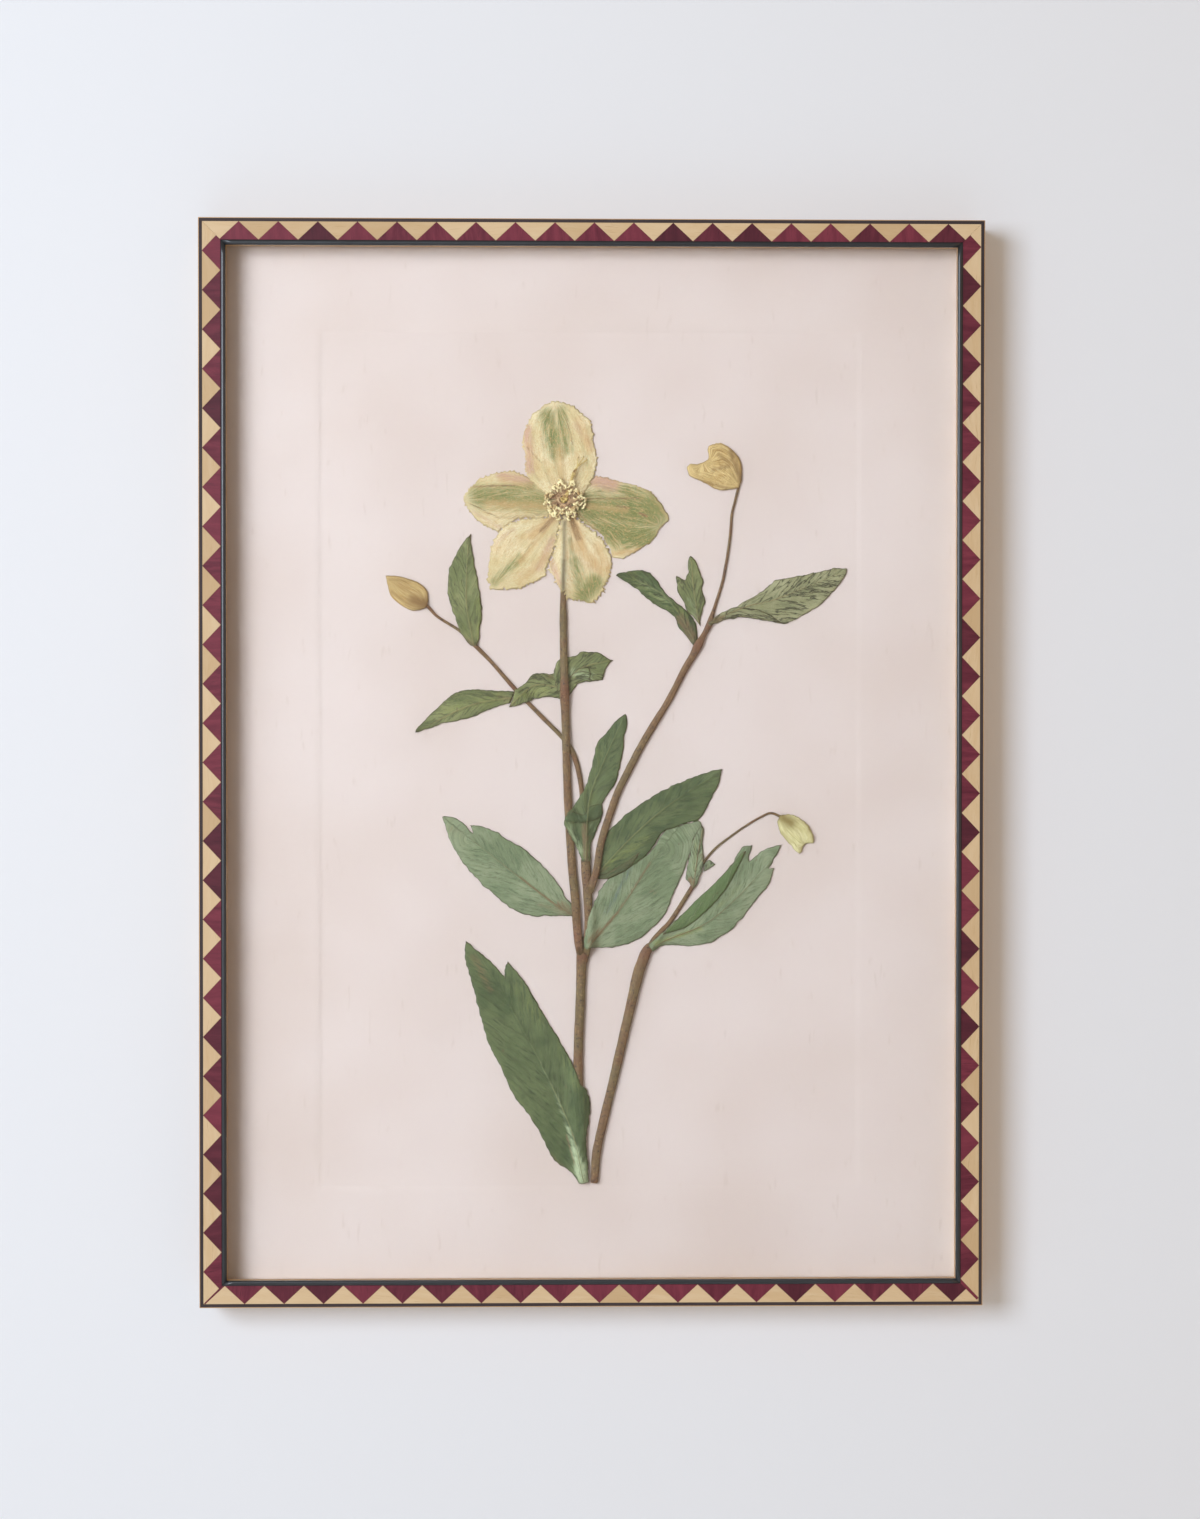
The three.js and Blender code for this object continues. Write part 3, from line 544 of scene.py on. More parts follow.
def makeStem(name, seed, material):
    plan, step, sides = stems[name], stemLook["step"] * mm, stemLook["sides"]
    stations = np.array(plan["line"], dtype=float)
    line = spline(np.column_stack([onPaper(stations[:, :2]), stations[:, 2] * photo["scale"]]), step)
    heights = stemHeights(line, plan.get("sunk", 0))
    ahead = np.gradient(line[:, :2], axis=0)
    ahead /= np.linalg.norm(ahead, axis=1)[:, None]
    vertices, uv, flat, tops = [], [], [], []
    for k, (u, v, width) in enumerate(line):
        left = np.array([-ahead[k, 1], ahead[k, 0]])
        bulge = 1 + stemLook["bulge"] * noise.noise(Vector((u / (6 * mm), v / (6 * mm), seed)))
        taper = stemLook["end"] if k in (0, len(line) - 1) else 1
        for j in range(sides):
            angle = 2 * math.pi * j / sides
            lumps = noise.noise(Vector((u / (3 * mm), v / (3 * mm), seed + math.cos(angle) * 2)))
            ridge = 1 + stemLook["ridge"] * (math.cos(6 * angle + seed) + lumps)
            rise = width / 2 * stemLook["flatness"] * (1 + math.sin(angle) * ridge * taper)
            x, y = np.array([u, v]) + left * math.cos(angle) * width / 2 * bulge * ridge * taper
            vertices.append(standUp(x, y, heights[k] + rise))
            flat.append((x, y))
            tops.append(heights[k] + rise)
            uv.append((k * step * 10, j / sides))
    flat = np.array(flat)
    attributes = {"node": painted(flat, [[x, y, x, y, radius, 1.0] for x, y, radius in plan["nodes"]])}
    settle(flat, np.array(tops))
    faces = ringFaces(len(line), sides)
    made = buildObject(name.replace("_", "."), vertices, faces, material, uv, attributes)
    return hand(made, "stem_skin", name)


# Leaves
leafLook = {
    "dark": {"base": (72, 86, 48), "light": (97, 107, 66), "deep": (45, 58, 32), "rib": (122, 122, 78),
             "fold": (56, 74, 44)},
    "grey": {"base": (112, 124, 89), "light": (138, 146, 112), "deep": (84, 98, 65), "rib": (118, 98, 64),
             "fold": (78, 100, 46)},
    "olive": {"base": (106, 112, 66), "light": (137, 138, 90), "deep": (72, 80, 44), "rib": (138, 124, 80),
              "fold": (84, 92, 52)},
    "sage": {"base": (134, 132, 92), "light": (162, 158, 118), "deep": (100, 102, 68), "rib": (136, 118, 78),
             "fold": (104, 104, 68)},
    "edge": (84, 68, 42), "spot": (96, 72, 50), "pale": (176, 186, 146), "brown": (124, 98, 68),
    "blue": (76, 92, 96), "yellow": (136, 140, 76), "crease": (62, 58, 38), "creases": 0.2,
    "thickness": 0.26, "cockle": 0.14, "waves": (9, 2.6, 0.45, 0.6), "curl": (0.3, 0.8, 8, 0.25),
    "ribRise": 0.2, "ribWidth": 0.5, "ribRun": 60, "veinRise": 0.05, "veinPitch": 0.12, "veinSlant": 0.27,
    "ragged": {"edges": 0.42, "fold": 0.2, "extra": 0.1}, "raggedSize": 2.6,
    "margin": 1.6, "lift": 0.04, "touch": 0.03, "step": 0.5, "spacing": 0.65,
}

leaves = {
    "leaf_left": {
        "kind": "grey",
        "edges": [
            [451, 816.4, 460, 820, 465.4, 825.6, 472.6, 832.6], [469.7, 824.5],
            [481.6, 826, 495.7, 831.6, 511, 841, 525, 849.5, 536, 859, 548, 871, 557.5, 883, 566, 897,
             575, 908],
            [576, 916],
            [552, 915, 539, 916, 526, 914.5, 513, 909, 502, 901.5, 491, 892, 480.5, 882, 467.5, 868,
             458, 855, 449, 837.5, 445, 825.6, 442.4, 816.2],
        ],
        "rib": [572, 915, 543, 895, 513, 872, 470, 838],
        "paint": {
            "brown": [
                [560, 905, 574, 914, 7, 0.7], [520, 877, 562, 910, 1.4, 0.9], [540, 905, 560, 912, 5, 0.5],
                [448, 828, 458, 830, 6, 0.4],
            ],
            "pale": [[470, 850, 540, 900, 14, 0.25]],
            "yellow": [[445, 820, 470, 850, 10, 0.3]],
        },
    },
    "leaf_left_narrow": {
        "creases": 0.5,
        "kind": "olive",
        "edges": [
            [417.6, 727, 432, 713, 448.5, 697.5, 463, 690, 489, 690, 514, 691], [510, 702],
            [495, 706.6, 478, 714, 465, 718.6, 453, 721, 439, 724, 427.5, 729, 415, 732.6],
        ],
        "rib": [512, 697, 470, 705, 420, 729],
        "paint": {"yellow": [[440, 712, 500, 698, 8, 0.5]], "brown": [[500, 697, 514, 697, 6, 0.5]]},
    },
    "leaf_left_crumpled": {
        "creases": 0.8,
        "kind": "olive",
        "edges": [
            [513, 696, 513.7, 689], [524, 683.5, 533, 674, 545, 673, 560, 674], [562, 699],
            [552, 697, 541, 697, 528.5, 701, 517, 705, 509, 706.6],
        ],
        "rib": [560, 687, 534, 685, 512, 703],
        "crumple": 1.9,
        "paint": {"yellow": [[515, 697, 545, 690, 6, 0.6]], "brown": [[548, 676, 560, 676, 5, 0.5]]},
    },
    "leaf_right_crumpled": {
        "creases": 0.8,
        "kind": "olive",
        "edges": [
            [556, 662, 559, 659, 566, 656, 575, 655, 582.5, 651, 598.6, 652.6, 605.6, 657, 612.4, 660],
            [607, 665, 604, 672, 602.6, 680], [587, 681, 577.6, 684, 572, 690.5, 568, 698],
            [560, 699, 553, 674],
        ],
        "fold": [[588, 667, 590, 676, 586, 681], [575, 683, 570, 676], [578, 668]],
        "rib": [560, 688, 580, 668, 609, 660],
        "crumple": 1.9,
        "paint": {"pale": [[572, 672, 588, 676, 8, 0.55]], "brown": [[560, 662, 575, 658, 5, 0.4]]},
    },
    "leaf_upper_left": {
        "creases": 0.4,
        "kind": "olive",
        "edges": [
            [463, 542, 458, 551, 450, 566, 447.5, 582, 448, 594, 453, 612, 460, 632], [470, 645, 476, 645],
            [479, 637, 479.5, 628, 481.6, 618, 480.6, 600, 475.7, 571, 471.5, 546, 470.7, 534],
        ],
        "rib": [473, 643, 466, 600, 468, 542],
        "paint": {
            "brown": [[463, 640, 474, 646, 6, 0.7]],
            "yellow": [[478, 600, 479, 640, 5, 0.6], [456, 615, 468, 640, 5, 0.4]],
        },
    },
    "leaf_branch_left": {
        "creases": 0.6,
        "kind": "dark",
        "edges": [
            [617.4, 573, 628, 571.4, 639, 570, 649.7, 572],
            [658, 583, 666, 594, 676, 602, 686, 611, 695, 621, 697, 633, 697, 643], [692, 645],
            [688, 638, 680, 629, 674.6, 618],
            [673, 615.4, 658, 606, 646, 598, 635, 588, 621.6, 579, 614.6, 575.7],
        ],
        "rib": [694, 641, 675, 608, 650, 586, 618, 575],
        "paint": {
            "brown": [[680, 618, 695, 640, 7, 0.75]],
            "pale": [[640, 580, 670, 602, 7, 0.4]],
            "yellow": [[630, 575, 685, 615, 9, 0.5]],
        },
    },
    "leaf_branch_small": {
        "creases": 0.7,
        "kind": "olive",
        "edges": [
            [696, 562, 700, 573, 702.5, 581.5, 701.5, 591, 705, 601, 701, 612, 700, 626],
            [694.5, 618, 686, 610, 683, 601, 678, 593, 676, 583, 675.4, 575.7], [684.6, 580],
            [687, 570, 687, 561.6, 690, 556],
        ],
        "rib": [698, 622, 693, 588, 690.5, 560],
        "paint": {"pale": [[688, 600, 697, 618, 6, 0.4]], "brown": [[697, 616, 700, 626, 5, 0.6]]},
    },
    "leaf_bottom": {
        "kind": "dark",
        "edges": [
            [470, 943.6, 477, 950, 489, 960, 497, 968, 505, 978], [504, 969, 507.5, 961],
            [513, 968, 522.6, 979, 536, 1001, 549.6, 1024.6, 563, 1046.6, 573, 1065, 581, 1084],
            [586, 1089, 590, 1102, 590, 1112.5, 587, 1129, 586, 1146, 588, 1167, 588.5, 1182],
            [579, 1183.4],
            [571.6, 1173, 558, 1164, 548, 1151, 542, 1137, 527.7, 1114, 513, 1094, 502, 1070, 489, 1045,
             480, 1014.5, 472, 984, 465, 959, 465.5, 941],
        ],
        "rib": [583, 1180, 571, 1130, 543, 1068, 509, 1004, 483, 960, 468, 934],
        "paint": {
            "pale": [
                [584, 1184, 579, 1166, 7, 1.0], [580, 1168, 574, 1148, 5, 0.85],
                [575, 1150, 568, 1128, 4, 0.65], [568, 1128, 556, 1095, 3, 0.5],
                [556, 1095, 540, 1062, 2.4, 0.35],
            ],
            "yellow": [
                [560, 1050, 584, 1100, 9, 0.35], [515, 985, 540, 1020, 8, 0.4],
                [500, 1068, 545, 1145, 6, 0.3],
            ],
            "brown": [
                [474, 956, 490, 990, 6, 0.55], [545, 1150, 570, 1172, 3, 0.4],
                [575, 1165, 566, 1135, 1.2, 0.8], [580, 1160, 573, 1135, 1, 0.7],
            ],
        },
    },
    "leaf_right_lower": {
        "kind": "grey",
        "edges": [
            [667.6, 827, 659, 837, 653.6, 846.5, 642, 858, 622.7, 867.5, 606, 880, 594.6, 900, 589, 914,
             585.5, 929, 583, 945],
            [586, 950],
            [592, 947, 603, 947.5, 622.7, 945, 636.7, 940, 648, 931, 662, 917, 669, 905, 673, 893,
             679, 880, 685, 866, 690, 852, 694, 838, 702, 826],
            [698.5, 820, 687, 823, 679, 825, 672, 825],
        ],
        "rib": [588, 947, 593, 940, 617, 912, 634, 888, 650, 862, 661, 848],
        "paint": {
            "blue": [[606, 912, 630, 868, 4, 0.5]],
            "pale": [[640, 845, 690, 830, 10, 0.4]],
            "brown": [
                [588, 940, 600, 930, 5, 0.6], [650, 890, 654, 892, 4, 0.5], [593, 940, 617, 912, 2, 0.9],
                [617, 912, 650, 862, 1.6, 0.7],
            ],
        },
    },
    "leaf_three_lobed": {
        "kind": "grey",
        "edges": [
            [743, 846.5, 738, 852, 731, 865, 715, 882, 698.5, 898, 682, 914, 665, 929, 656, 937, 647.5, 944],
            [652.5, 951.5],
            [662, 946, 679, 945, 696, 946, 710, 942, 728, 932, 739, 921, 750, 907, 761.6, 893, 770, 882,
             774.5, 868],
            [769, 868], [775.6, 856, 782.7, 843.4], [771, 846.5, 761.6, 851, 749, 860.5],
            [750, 853.5, 752, 845],
        ],
        "fold": [
            [742, 852, 731, 865, 715, 882, 698, 898, 682, 914, 662, 934], [687, 926, 710, 907, 728, 886],
            [746, 851],
        ],
        "foldPaint": {"dark": 1.1},
        "rib": [651, 948, 668, 939, 704, 924, 734, 900, 770, 862],
        "paint": {
            "pale": [[700, 930, 745, 885, 9, 0.3]],
            "brown": [[706, 899, 722, 889, 3, 0.45]],
            "yellow": [[655, 943, 700, 928, 4, 0.6], [720, 905, 740, 885, 4, 0.4]],
        },
    },
    "leaf_right_upper": {
        "kind": "dark",
        "edges": [
            [712.5, 770, 700, 774, 682, 781, 670, 786, 654, 794.5, 640, 804, 625, 814, 615.6, 823.6,
             608, 831, 603.5, 843, 598.6, 857.5, 591, 875],
            [590, 878], [607, 877, 628, 867.5],
            [637, 862, 648, 853, 655.6, 842, 661.6, 833, 671, 828, 688, 822, 699, 819, 706.5, 806.6,
             717.4, 785, 722.2, 768.5],
        ],
        "rib": [597, 873, 634, 834, 672, 802, 716, 774],
        "fold": [[607, 872, 628, 860, 641, 850], [628, 868, 607, 878, 590, 878], [598, 874]],
        "foldPaint": {"brown": 0.5, "dark": 0.5},
        "paint": {
            "yellow": [
                [604, 866, 646, 838, 6, 0.5], [610, 864, 634, 852, 9, 0.3], [646, 838, 680, 812, 3, 0.3],
            ],
            "brown": [[594, 872, 606, 868, 5, 0.5]],
        },
    },
}

upperLeaves = {
    "leaf_centre": {
        "kind": "dark",
        "edges": [
            [615.6, 720, 606, 731.5, 597, 742, 594, 754.5, 590, 770, 585, 786, 579, 797, 571, 808, 565, 816],
            [563.5, 822, 567, 830, 573, 841, 579, 854.5, 581, 861], [590, 861],
            [591, 843, 596, 831, 601.7, 815, 601.7, 803, 608, 793, 615.6, 781, 619, 768, 623, 751,
             623.5, 736, 626.5, 728, 626.5, 719, 625, 713.7],
        ],
        "fold": [[583, 814, 590, 806, 601.7, 803], [601, 816, 583, 822, 565, 821], [565, 816, 572, 810]],
        "foldPaint": {"dark": 0.6},
        "rib": [585, 858, 589, 800, 603, 762, 622, 720],
        "paint": {
            "brown": [[584, 825, 586, 862, 4, 0.8]],
            "pale": [[572, 828, 580, 850, 6, 0.5], [592, 825, 596, 835, 4, 0.4]],
            "yellow": [[600, 750, 590, 800, 6, 0.35]],
        },
    },
    "leaf_folded": {
        "creases": 0.7,
        "kind": "grey",
        "edges": [
            [703.4, 835, 702, 846.5, 703.4, 858, 702, 869, 697, 883, 693, 889], [688.7, 882, 686, 879],
            [687, 866, 690, 852, 694, 837, 702, 825],
        ],
        "extra": [[709, 859.5, 715, 864], [707, 869.5, 703.5, 871], [704, 863]],
        "rib": [693, 886, 697, 858, 702, 830],
        "paint": {
            "brown": [[690, 880, 694, 889, 5, 0.8], [702, 855, 703, 860, 3, 0.7]],
            "yellow": [[696, 840, 694, 870, 3, 0.5]],
        },
    },
    "leaf_branch_right": {
        "creases": 0.85,
        "kind": "sage",
        "edges": [
            [844, 567.4, 829, 569, 814, 572.5, 799, 575.7, 779, 579, 771.6, 582, 762.5, 590, 749, 598,
             736, 606, 726, 610, 716, 616, 707, 622],
            [709, 626], [719, 621.5, 731, 618, 741, 616.6, 759, 619, 772, 621, 784, 624],
            [791, 621, 805.6, 613, 824, 600, 837, 586, 845, 575, 847, 569],
        ],
        "fold": [
            [732.6, 607, 745, 607.6, 757.5, 609, 769, 614.6, 783, 623],
            [772, 621, 759, 619, 741, 616.6, 723, 619], [727, 610],
        ],
        "foldPaint": {"dark": 0.5},
        "rib": [712, 620, 746, 606, 777, 598, 843, 571],
        "paint": {"brown": [[709, 623, 722, 617, 5, 0.7]], "yellow": [[720, 614, 760, 606, 4, 0.4]]},
    },
}


def leafMaterial(kind):
    look = leafLook[kind]
    blade = Shader(f"leaf {kind}")
    place = blade.place()
    length = blade.add("SeparateXYZ", {0: blade.grown()})[0]
    across = blade.held("across")
    side = blade.maths("ABSOLUTE", across)
    # Streaks run with the side veins, which leave the rib at a narrow angle
    slant = blade.plus(blade.times(length, 100 * leafLook["veinPitch"]),
                       blade.times(side, -1000 * leafLook["veinSlant"]),
                       blade.times(blade.grain(place, 120, detail=3), 0.9))
    run = blade.plus(blade.times(length, 4.0), blade.times(blade.maths("SIGN", across), 7.3))
    course = blade.add("CombineXYZ", {0: slant, 1: run})[0]
    streaks = blade.grain(course, 3.2, detail=6, rough=0.76)
    broad = blade.grain(place, 70, detail=3)
    fine = blade.grain(place, 1300, detail=4, rough=0.75)
    blade.base(broad, 0.36, 0.64, look["base"], look["light"])
    blade.tint(look["deep"], streaks, 0.5, 0.36, 0.75)
    blade.tint(look["light"], streaks, 0.54, 0.7, 0.6)
    for key in ("yellow", "blue", "brown", "pale"):
        blade.stain(leafLook[key], key, streaks, 0.98, 1.7)
    blade.cover(look["fold"], blade.held("dark"), 0.75)
    # Side veins, broken here and there, and the net of small veins between them
    vein = blade.between(blade.offHalf(blade.maths("FRACT", slant)), 0.055, 0.0)
    blade.cover(look["light"], vein, blade.between(blade.grain(place, 260, detail=4), 0.42, 0.58), 0.6)
    blade.tint(look["light"], blade.cells(course, 5.0), 0.07, 0.0, 0.22)
    blade.tint(look["deep"], fine, 0.44, 0.3, 0.6)
    rib = blade.times(blade.between(side, 0.34 * mm, 0.1 * mm), blade.between(broad, 0.3, 0.6, (0.4, 1.0)))
    blade.cover(look["rib"], rib, blade.between(length, 0.7, 0.15), 0.85)
    # Creases are thin dark lines that wander along the blade
    wander = blade.offHalf(blade.grain(course, 1.5, detail=4, rough=0.55))
    crease = blade.times(blade.between(wander, 0.024, 0.005), blade.held("crease"))
    blade.cover(leafLook["crease"], crease)
    # Painted shade of a groove on both sides of the rib, in the deep colour
    ribGrooveShade = blade.between(side, 0.95 * mm, 0.55 * mm), blade.between(side, 0.4 * mm, 0.6 * mm)
    blade.cover(look["deep"], *ribGrooveShade, 0.35)
    blade.tint(leafLook["spot"], blade.grain(place, 330, detail=2), 0.7, 0.76, 0.5)
    margin = blade.plus(blade.held("edge"), blade.times(broad, 0.2 * mm))
    blade.tint(leafLook["edge"], margin, 0.42 * mm, 0.14 * mm, 0.8)
    relief = blade.plus(streaks, blade.times(vein, 0.3), blade.times(rib, 0.4), blade.times(fine, 0.35),
                        blade.times(crease, -1.0))
    return blade.finish(fine, (0.55, 0.75), relief, 0.28, 0.9, 0.3)


def leafLayer(rim, rib, seed, plan, flags):
    look = leafLook
    window, over = drapeOver(rim)

    def surfaces(points, edge, along, across):
        inner = np.clip(edge / (look["margin"] * mm), 0, 1)
        spine = look["ribRise"] * np.exp(-(across / (look["ribWidth"] * mm)) ** 2)
        spine *= np.clip(1.2 - along / (look["ribRun"] * mm), 0.3, 1)
        veins = look["veinRise"] * np.cos(
            2 * np.pi * (along * look["veinPitch"] - np.abs(across) * look["veinSlant"]) / mm)
        cockle = cockled(points, look, seed, 9, plan.get("crumple", 1.0))
        back = sampled(window, over, points) + (look["lift"] + (cockle + veins) * inner) * mm
        back = np.maximum(back + curlUp(points, edge, look, seed + 20), look["touch"] * mm)
        return back + (look["thickness"] * (0.45 + 0.55 * inner) + spine) * mm, back

    made = layer(rim, look["spacing"] * mm, rib, surfaces)
    flat = made["flat"]
    for key in ("pale", "brown", "blue", "yellow"):
        made[key] = np.maximum(painted(flat, plan["paint"].get(key, [])), flags.get(key, 0))
    for key, value in (("dark", flags.get("dark", 0)), ("crease", plan.get("creases", look["creases"]))):
        made[key] = np.full(len(flat), float(value))
    settle(flat[:len(made["front"])], made["front"])
    return made


def makeLeaf(name, plan, seed):
    rib = spline(drawn(plan["rib"]), 1 * mm)
    layers = []
    for key, amount in leafLook["ragged"].items():
        if key in plan:
            rim = closedOutline(plan[key], leafLook["step"] * mm)
            rim = ragged(rim, amount * mm, leafLook["raggedSize"] * mm, seed)
            flags = plan.get("foldPaint", {}) if key == "fold" else {}
            layers.append(leafLayer(rim, rib, seed + len(layers), plan, flags))
    keys = ("edge", "across", "pale", "brown", "blue", "yellow", "dark", "crease")
    made = joinLayers(name.replace("_", "."), layers, leafMaterials[plan["kind"]], keys)
    return hand(made, "leaf_blade", name)


# Petals
sepalLook = {
    "cream": (212, 195, 146), "pale": (229, 214, 172), "green": (102, 117, 58), "tan": (200, 160, 108),
    "pink": (196, 154, 136), "edge": (190, 162, 108), "brown": (116, 84, 56), "under": (98, 86, 62),
    "thickness": 0.22, "cockle": 0.12, "waves": (9, 2.4, 0.6, 0.7), "curl": (0.35, 0.9, 5, 0.3),
    "pleat": 0.07, "pleats": 22, "ragged": 0.3, "raggedSize": 3.5, "frillSize": 0.7,
    "margin": 2.0, "lift": 0.05, "touch": 0.03, "step": 0.35, "spacing": 0.6,
}

sepals = {
    "sepal_left": {
        "edges": [
            [466, 493, 470, 488, 481.5, 478, 492, 474.4, 503, 472, 513, 471.6, 525, 476],
            [542, 487, 562, 500], [546, 517, 526, 517.6, 511, 522.6, 497, 532.5],
            [488, 527.6, 478, 521, 470, 512, 465, 506, 463, 498],
        ],
        "rib": [560, 502, 520, 494, 470, 500],
        "frill": 0.8,
        "paint": {
            "green": [
                [480, 497, 540, 502, 16, 0.9], [540, 502, 552, 508, 10, 0.8], [476, 492, 530, 488, 8, 0.8],
            ],
            "tan": [
                [488, 504, 545, 506, 8, 0.6], [486, 514, 530, 512, 8, 0.4], [500, 480, 530, 486, 5, 0.5],
            ],
            "pink": [[500, 476, 530, 482, 7, 0.8], [472, 512, 500, 528, 5, 0.5]],
            "brown": [
                [473, 487, 520, 485, 1.2, 0.85], [520, 485, 546, 494, 1.2, 0.6],
                [470, 504, 500, 519, 1.4, 0.6], [500, 518, 545, 515, 3, 0.5],
            ],
        },
    },
    "sepal_right": {
        "edges": [
            [604, 477, 614, 480, 625, 483, 636, 486, 645, 489, 652, 493, 660.5, 503, 664.5, 510, 668.5, 519],
            [662, 526, 657, 532.5, 650.6, 541, 636, 551, 621, 558, 611.6, 557],
            [607.5, 546, 599, 532.5, 584, 523, 566, 504], [580, 487, 595, 476],
        ],
        "rib": [568, 500, 610, 510, 655, 524],
        "frill": 0.5,
        "paint": {
            "green": [
                [588, 510, 650, 512, 25, 1.0], [605, 530, 645, 538, 20, 1.0], [625, 492, 650, 505, 12, 0.9],
            ],
            "tan": [
                [586, 506, 625, 510, 5, 0.6], [612, 554, 640, 549, 4, 0.7], [655, 500, 667, 518, 3, 0.5],
            ],
            "pink": [[594, 479, 612, 485, 10, 1.0], [598, 492, 608, 494, 6, 0.5]],
            "brown": [
                [639, 513, 646, 516, 1.7, 1.0], [588, 499, 638, 498, 1.4, 0.75],
                [617, 506, 628, 508, 3, 0.6], [600, 541, 606, 553, 1.8, 0.6],
                [578, 514, 600, 534, 1.8, 0.7], [620, 516, 624, 520, 2, 0.4],
            ],
        },
    },
    "sepal_lower_left": {
        "edges": [
            [535, 518, 523, 519, 514, 522, 506, 526, 496, 536, 491, 545, 490, 549, 489, 566, 487, 579,
             490, 590],
            [506, 589, 523, 587, 536, 581.5, 543, 576], [546, 569, 550, 558, 554, 549, 558, 530, 562, 505],
            [553, 512, 546, 517.6],
        ],
        "rib": [559, 512, 530, 548, 494, 586],
        "frill": 0.9,
        "paint": {
            "green": [[494, 582, 520, 558, 7, 0.7], [520, 558, 545, 532, 4, 0.4]],
            "tan": [
                [520, 562, 556, 516, 5, 0.6], [532, 536, 552, 518, 8, 0.75], [495, 550, 540, 530, 9, 0.5],
                [520, 582, 546, 556, 8, 0.55], [495, 560, 510, 545, 6, 0.45],
            ],
            "pink": [
                [538, 568, 552, 540, 6, 0.7], [493, 545, 512, 530, 6, 0.5], [515, 575, 535, 572, 6, 0.4],
            ],
            "brown": [[541, 531, 556, 514, 3.4, 0.8], [524, 552, 541, 531, 1.6, 0.5]],
        },
    },
    "sepal_lower_right": {
        "edges": [
            [580, 521, 586, 526, 599, 536, 604, 543, 607.5, 549, 610, 556, 611, 564, 610, 571, 609, 576,
             602.5, 591],
            [597, 598, 591, 604], [583, 601, 575, 599.6, 566, 597], [560, 590, 556, 582, 548, 571],
            [550, 560, 553, 554, 559, 526, 565, 505], [570, 512, 575, 517.6],
        ],
        "rib": [567, 512, 578, 555, 590, 600],
        "frill": 1.5,
        "paint": {
            "green": [
                [582, 596, 594, 582, 11, 0.95], [574, 560, 580, 590, 8, 0.75], [570, 540, 574, 570, 5, 0.6],
            ],
            "tan": [
                [572, 520, 582, 548, 7, 0.9], [575, 545, 600, 568, 9, 0.7], [596, 545, 608, 570, 7, 0.65],
            ],
            "pink": [[551, 562, 558, 582, 6, 0.7], [580, 560, 600, 572, 7, 0.45]],
            "brown": [[570, 517, 578, 538, 4, 0.8], [556, 540, 566, 520, 3, 0.5]],
            "under": [[563.6, 522, 563.2, 560, 1.8, 0.75], [563.2, 560, 562.4, 598, 2.4, 0.9]],
        },
    },
    "sepal_top": {
        "edges": [
            [545, 494, 533, 483, 525.4, 473, 524.6, 458, 522, 443, 523.4, 434, 526, 426, 529, 419,
             534, 413, 540, 408.4, 546, 405, 552, 402.4, 558.6, 401.6],
            [568, 405, 575, 408.6, 581, 413, 587, 418.4, 590, 423, 592.4, 431, 593, 440, 594, 448,
             596, 455, 596.4, 463, 595, 471, 592, 479, 589, 486, 582, 495],
            [572, 500, 563, 503, 551, 499],
        ],
        "rib": [563, 499, 560, 450, 556, 404],
        "frill": 0.8,
        "paint": {
            "green": [
                [547, 416, 556, 455, 11, 0.85], [560, 412, 566, 450, 9, 0.75], [555, 455, 562, 485, 7, 0.5],
                [584, 440, 588, 470, 5, 0.35],
            ],
            "tan": [
                [558, 450, 562, 490, 8, 0.6], [544, 460, 556, 490, 5, 0.5], [578, 420, 590, 450, 7, 0.6],
                [528, 445, 540, 475, 6, 0.5],
            ],
            "pink": [[527, 430, 530, 470, 7, 0.8], [576, 425, 590, 445, 7, 0.55]],
            "brown": [
                [527, 448, 541, 463, 1.4, 0.6], [566, 419, 572, 445, 1.4, 0.6],
                [545, 470, 552, 492, 2, 0.4],
            ],
        },
    },
}


def sepalMaterial():
    petal = Shader("dried petal")
    place, grown = petal.place(), petal.grown()
    broad = petal.grain(place, 80, detail=3)
    fine = petal.grain(place, 1300, detail=4, rough=0.75)
    # Fine streaks and hairs fan out from the base of the petal, over a net of small veins
    fan = petal.grain(grown, 7, (1.4, 4.0, 1), detail=7, rough=0.8, twist=0.5)
    hair = petal.grain(grown, 24, (1.6, 4.2, 1), detail=5, rough=0.8, twist=1.2)
    mapped = petal.add("Mapping", {"Vector": grown, "Scale": (2.6, 3.0, 1)})[0]
    shaken = petal.add("MixRGB", {0: 0.04, 1: mapped, 2: petal.add("TexNoise", {"Scale": 500.0})["Color"]})[0]
    net = petal.cells(shaken, 12.0)
    petal.base(broad, 0.38, 0.62, sepalLook["cream"], sepalLook["pale"])
    for key in ("pink", "green", "tan", "brown"):
        petal.stain(sepalLook[key], key, fan, 1.0, 1.8)
    for key, source, low, high, strength in (
        ("tan", fan, 0.48, 0.34, 0.6), ("tan", hair, 0.48, 0.36, 0.7), ("pale", hair, 0.54, 0.64, 0.6),
        ("tan", net, 0.09, 0.0, 0.4), ("brown", hair, 0.41, 0.31, 0.8), ("tan", fine, 0.47, 0.34, 0.75),
    ):
        petal.tint(sepalLook[key], source, low, high, strength)
    petal.cover(sepalLook["under"], petal.held("under"))
    margin = petal.plus(petal.held("edge"), petal.times(broad, 0.3 * mm))
    petal.tint(sepalLook["edge"], margin, 0.6 * mm, 0.2 * mm, 0.55)
    relief = petal.plus(fan, petal.times(hair, 0.8), petal.times(fine, 0.5))
    return petal.finish(fine, (0.6, 0.82), relief, 0.22, 0.9, 0.25)


